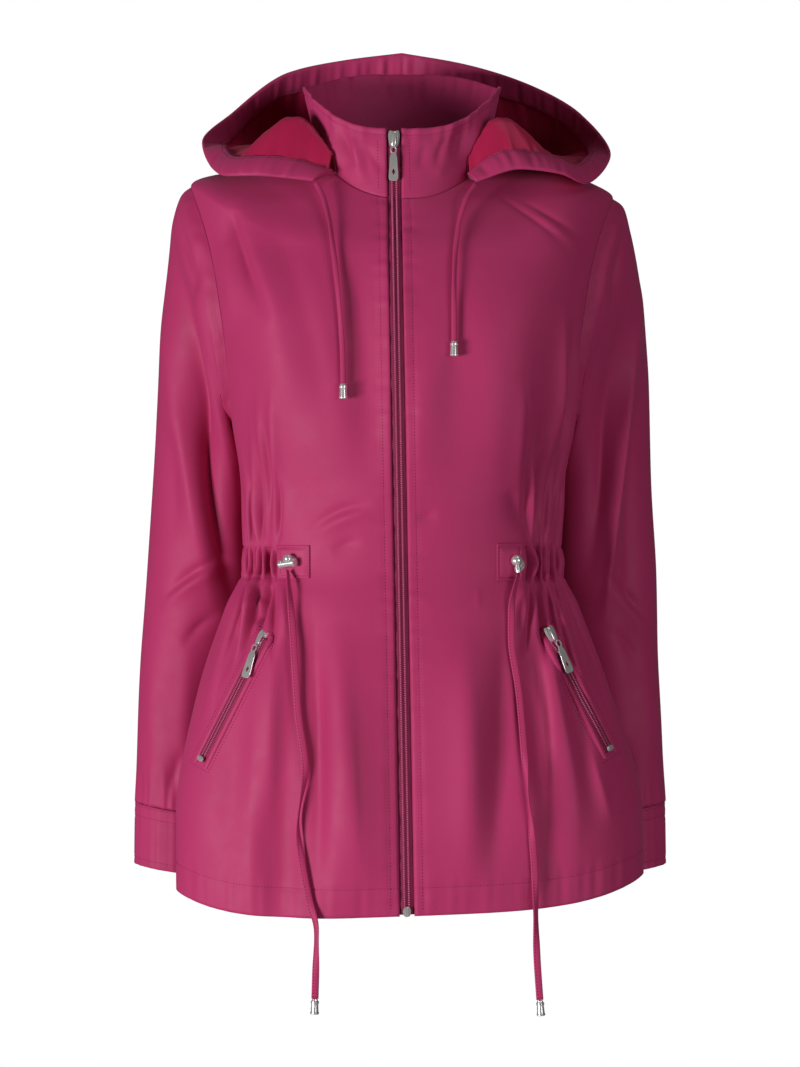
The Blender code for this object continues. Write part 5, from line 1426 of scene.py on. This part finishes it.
def cloth_grid(tree, places):
    """Points and directions of the cloth at rows of (x, z) places."""
    marks = [[cloth_point(tree, *place) for place in row] for row in places]
    return (np.array([[mark[k] for mark in row] for row in marks]) for k in (0, 1))


def pocket_lips(tree, tag, start, end):
    """Two rolled cloth edges beside a pocket zip."""
    along, side = run_directions(start, end)
    over = along * LIP_OVER
    parts = []
    for sign in (-1, 1):
        loops = []
        for t in np.linspace(0, 1, 60):
            place = start - over + (end - start + 2 * over) * t + side * sign * LIP_OFFSET
            point, normal = cloth_point(tree, *place)
            beside = unit(np.cross(normal, (side[0], 0, side[1])))
            beside = np.cross(beside, normal)
            swell = LIP_END + (1 - LIP_END) * math.sin(math.pi * min(max(t, LIP_TIP), 1 - LIP_TIP)) ** 0.25
            angles = np.linspace(0, 2 * math.pi, 12, endpoint=False)
            rise = np.where(np.sin(angles) > 0, LIP_HEIGHT, LIP_SUNK) * np.sin(angles) * swell
            loops.append(point + np.cos(angles)[:, None] * beside * LIP_HALF + rise[:, None] * normal)
        parts.append(lofted(loops))
    hard_piece("pocket_lips_" + tag, parts, SHELL)


def pocket(tree, tag, place):
    """One slanted pocket zip: tape, teeth, lips, slider, pull tab and stop; gives its stitch box."""
    start, end = np.array(place["top"]), np.array(place["foot"])
    along, side = run_directions(start, end)
    places = [[start + (end - start) * t + side * offset for offset in POCKET_OFFSETS] for t in POCKET_STEPS]
    points, normals = cloth_grid(tree, places)
    outer = points + normals * (POCKET_GAP + POCKET_WALL)
    shell("pocket_zip_" + tag, outer, points + normals * POCKET_GAP, TAPE_PAINTED_SHADE, turned=True)
    out = normals[:, POCKET_MIDDLE]
    line = outer[:, POCKET_MIDDLE] + out * TOOTH_HALF * 0.8
    hard_piece("pocket_teeth_" + tag, tooth_rows(line, out, POCKET_COIL, POCKET_PITCH), COIL_PAINTED_HIGHLIGHT)
    pocket_lips(tree, tag, start, end)
    slider("pocket_slider_" + tag)
    pull("pocket_pull_" + tag, tag + "_pocket_tab")
    stop("pocket_stop_" + tag)
    head, foot, beside = start - along * BOX_OVER, end + along * BOX_OVER, side * BOX_HALF
    return laid_line(tree, (head - beside, foot - beside, foot + beside, head + beside, head - beside))


def patch(tree, tag, place):
    """Square patch sewn over the end of the waist's cord channel; gives its stitch box."""
    (x0, x1), (z0, z1) = place["x"], place["z"]
    share = np.linspace(0, 1, PATCH_STEPS)
    places = [[(x0 + (x1 - x0) * a, z0 + (z1 - z0) * b) for a in share] for b in share]
    points, normals = cloth_grid(tree, places)
    edge = np.minimum(share, 1 - share)
    inset = np.minimum(edge[:, None], edge[None, :]) * (x1 - x0)
    swell = PATCH_SWELL * np.clip(inset / PATCH_SWELL_REACH, 0, 1)
    lift = PATCH_GAP + PATCH_WALL + swell - LINE_GROOVE * ease((inset - PATCH_INSET) / PATCH_GROOVE_REACH)
    outer = points + normals * lift[..., None]
    shell("waist_patch_" + tag, outer, points + normals * PATCH_GAP, SHELL)
    tree_top = cloth_tree(outer)
    a, b = x0 + PATCH_INSET, x1 - PATCH_INSET
    c, d = z0 + PATCH_INSET, z1 - PATCH_INSET
    return laid_line(tree_top, ((a, c), (b, c), (b, d), (a, d), (a, c)))


def settled(heights, reach):
    """A line laid over ups and downs: it bridges hollows and never dips under them (low is out)."""
    padded = np.pad(heights, 2 * reach, mode="edge")
    count = len(heights)
    lowest = np.min([padded[k:k + count + 2 * reach] for k in range(2 * reach + 1)], axis=0)
    return np.mean([lowest[k:k + count] for k in range(2 * reach + 1)], axis=0)


def cord_path(tree, head, route):
    """Points along a cord: from its exit, over the cloth, then straight down below the hem."""
    marks = np.array(route)
    slopes = rising_slopes(marks)
    laid = []
    for v in np.linspace(0, len(marks) - 1, CORD_DENSE):
        x, z = row_at(marks, slopes, v)
        laid.append((x, cloth_point(tree, x, max(z, CORD_HEM_Z))[0][1], z))
    dense = np.array(laid)
    dense[:, 1] = settled(dense[:, 1], CORD_BRIDGE) - CORD_LIFT
    start = np.array((*head, dense[0], dense[CORD_JOIN]))
    start_slopes = rising_slopes(start)
    drop = [row_at(start, start_slopes, v) for v in np.linspace(0, len(head) + 1, CORD_HEAD_STEPS)]
    dense = np.concatenate((drop[:-1], dense[CORD_JOIN:]))
    count = int(round(arc_lengths(dense)[-1] / CORD_STEP))
    points = along_curve(dense, lambda whole: np.linspace(0, whole, count + 1))
    for _ in range(CORD_SMOOTHING):
        points[1:-1] = 0.25 * points[:-2] + 0.5 * points[1:-1] + 0.25 * points[2:]
    return points


def cord(tree, name, route, head, size, twists):
    """A flat cloth cord that turns on itself, with its metal end; gives its edge stitches."""
    width, thick = size
    path = cord_path(tree, head, route)
    lengths = arc_lengths(path)
    turn = sum(math.radians(angle) * ease((lengths - place) / reach) for place, reach, angle in twists)
    along = unit(np.gradient(path, axis=0))
    out = unit(TO_FRONT - along * (along @ TO_FRONT)[:, None])
    side = np.cross(along, out)
    rest = np.clip(lengths / CORD["seated_over"], 0, 1)
    path = path + out * (rest * (thick / 2 + (width - thick) / 2 * np.abs(np.sin(turn))))[:, None]
    broad = np.cos(turn)[:, None] * side + np.sin(turn)[:, None] * out
    flat = np.cos(turn)[:, None] * out - np.sin(turn)[:, None] * side
    angles = np.linspace(0, 2 * math.pi, 16, endpoint=False)
    across = np.sign(np.cos(angles)) * np.abs(np.cos(angles)) ** CORD["square"] * width / 2
    raised = np.sin(angles) * thick / 2 * (1 - CORD["hollow"] * np.cos(angles) ** 2)
    loops = path[:, None] + across[None, :, None] * broad[:, None] + raised[None, :, None] * flat[:, None]
    points, faces = lofted(loops)
    obj = add_piece(name + "_cloth", points, faces, SHELL, node=name)
    end = crimp(name.replace("cord", "cord_end"))
    return path + broad * width * CORD["stitch_out"] + flat * thick * CORD["stitch_rise"], flat


def lock_exit(name, upright):
    """Where the waist cord leaves its lock: under the barrel, or at the pin's lower end."""
    middle, axes, half = node_place(name, turned=True)
    if upright:
        return middle - axes[1] * (half[1] + LOCK_EXIT_GAP)
    return middle + DOWN * (LOCK_RADIUS + LOCK_EXIT_GAP)


def ring_row(grid, normals, index):
    """One row of a tube's grid as a closed line with its directions."""
    return tuple(np.append(table[index], table[index][:1], axis=0) for table in (grid, normals))


def zip_stitches(tree, low, high):
    """Stitch lines on both sides of the zip between two heights."""
    heights = np.linspace(low, high, 60)
    offset = CHANNEL_HALF + ZIP_STITCH
    return [laid_line(tree, [(zip_x(z) + side * offset, z) for z in heights]) for side in (-1, 1)]


def waist_stitches(front_tree, back_tree):
    """The two stitch lines of the waist's cord channel, from the patches round the back."""
    rows = []
    for z in WAIST_CHANNEL:
        rows.append(laid_line(front_tree, ((-WAIST_SIDE_X, z), (WAIST_STITCH_LEFT, z))))
        rows.append(laid_line(front_tree, ((WAIST_STITCH_RIGHT, z), (WAIST_SIDE_X, z))))
        rows.append(laid_line(back_tree, ((-WAIST_SIDE_X, z), (WAIST_SIDE_X, z)), from_y=1.0))
    return rows


def add_camera(scene):
    """Level camera in front."""
    camera = bpy.data.cameras.new("camera")
    camera.sensor_fit = "VERTICAL"
    camera.sensor_height = CAMERA_SENSOR
    camera.lens = CAMERA_LENS
    view = bpy.data.objects.new("camera", camera)
    view.location = CAMERA_PLACE
    view.rotation_euler = (math.pi / 2, 0, 0)
    scene.collection.objects.link(view)
    scene.camera = view


def add_lights(scene):
    """Soft key light from the left, with a weaker fill from the right and a faint one from above."""
    for name, place, size, energy in LIGHTS:
        data = bpy.data.lights.new(name, "AREA")
        data.size = size
        data.energy = energy
        lamp = bpy.data.objects.new(name, data)
        lamp.location = place
        lamp.rotation_euler = (Vector(LIT_POINT) - Vector(place)).to_track_quat("-Z", "Y").to_euler()
        scene.collection.objects.link(lamp)


def add_world(scene):
    """White backdrop with a faint light of its own."""
    world = bpy.data.worlds.new("studio")
    world.use_nodes = True
    nodes, links = world.node_tree.nodes, world.node_tree.links
    nodes["Background"].inputs["Color"].default_value = WHITE
    nodes["Background"].inputs["Strength"].default_value = AMBIENT
    bright = nodes.new("ShaderNodeBackground")
    bright.inputs["Color"].default_value = WHITE
    mix = nodes.new("ShaderNodeMixShader")
    links.new(nodes.new("ShaderNodeLightPath").outputs["Is Camera Ray"], mix.inputs["Fac"])
    links.new(nodes["Background"].outputs[0], mix.inputs[1])
    links.new(bright.outputs[0], mix.inputs[2])
    links.new(mix.outputs[0], nodes["World Output"].inputs["Surface"])
    scene.world = world


def studio():
    """Camera, lights and backdrop."""
    scene = bpy.context.scene
    add_camera(scene)
    add_lights(scene)
    add_world(scene)
    scene.view_settings.view_transform = "Standard"


def floor():
    """Round pale floor well below the hem."""
    mesh = bpy.data.meshes.new("floor")
    angles = [2 * math.pi * side / FLOOR_SIDES for side in range(FLOOR_SIDES)]
    rim = [(FLOOR_RADIUS * math.cos(a), FLOOR_RADIUS * math.sin(a), FLOOR_Z) for a in angles]
    mesh.from_pydata(rim, [], [tuple(range(FLOOR_SIDES))])
    material, *_ = principled("floor_paint", "floor", Base_Color=(0.9, 0.9, 0.9, 1), Roughness=0.9)
    mesh.materials.append(material)
    obj = bpy.data.objects.new("floor", mesh)
    bpy.context.scene.collection.objects.link(obj)


def sleeves_and_cuffs():
    """Both sleeves with their cuffs; gives the cuffs' stitch rows."""
    sewing = []
    for side, tag in ((-1, "left"), (1, "right")):
        grid, out = cuff(side, tag, sleeve(side, tag))
        sewing += [ring_row(grid, out, int(round(line * (len(grid) - 1)))) for line in CUFF_STITCHES]
    return sewing


def cords(tree):
    """The four cords; gives the waist cords' edge stitches."""
    left_exit, right_exit = lock_exit("waist_lock_left", False), lock_exit("waist_lock_right", True)
    for name, route, head in (("hood_cord_left", HOOD_CORD_LEFT, HOOD_EXIT_LEFT),
                              ("hood_cord_right", HOOD_CORD_RIGHT, HOOD_EXIT_RIGHT)):
        cord(tree, name, route, head, HOOD_CORD_SIZE, TWISTS[name])
    sewing = []
    for name, route, head in (("waist_cord_left", WAIST_CORD_LEFT, (left_exit,)),
                              ("waist_cord_right", WAIST_CORD_RIGHT, (right_exit,))):
        sewing.append(cord(tree, name, route, head, WAIST_CORD_SIZE, TWISTS[name]))
    return sewing


def build():
    """Every piece of the jacket, then its sewing."""
    panels = [front_panel(-1, "front_left"), front_panel(1, "front_right"), back_panel()]
    sewing = sleeves_and_cuffs()
    collar_grid, collar_out = collar()
    hood_shell()
    sewing += hood_casing()
    front_left, front_right, back = (grid for grid, _ in panels)
    fronts, rear, neck = cloth_tree(front_left, front_right), cloth_tree(back), cloth_tree(collar_grid)
    front_zip()
    sewing += [pocket(fronts, "left", POCKET_LEFT), pocket(fronts, "right", POCKET_RIGHT)]
    sewing += [patch(fronts, "left", PATCH_LEFT), patch(fronts, "right", PATCH_RIGHT)]
    cord_lock("waist_lock_left", False)
    cord_lock("waist_lock_right", True)
    sewing += cords(fronts)
    hem = int(round(HEM_ROW * ROWS_PER_SECTION))
    sewing += [(grid[hem], out[hem]) for grid, out in panels]
    top = int(round(COLLAR_STITCH * COLLAR_ROWS))
    sewing.append((collar_grid[top], collar_out[top]))
    sewing += zip_stitches(fronts, *ZIP_STITCH_BODY) + zip_stitches(neck, *ZIP_STITCH_COLLAR)
    sewing += waist_stitches(fronts, rear)
    stitches("stitch_rows", sewing)


studio()
floor()
build()
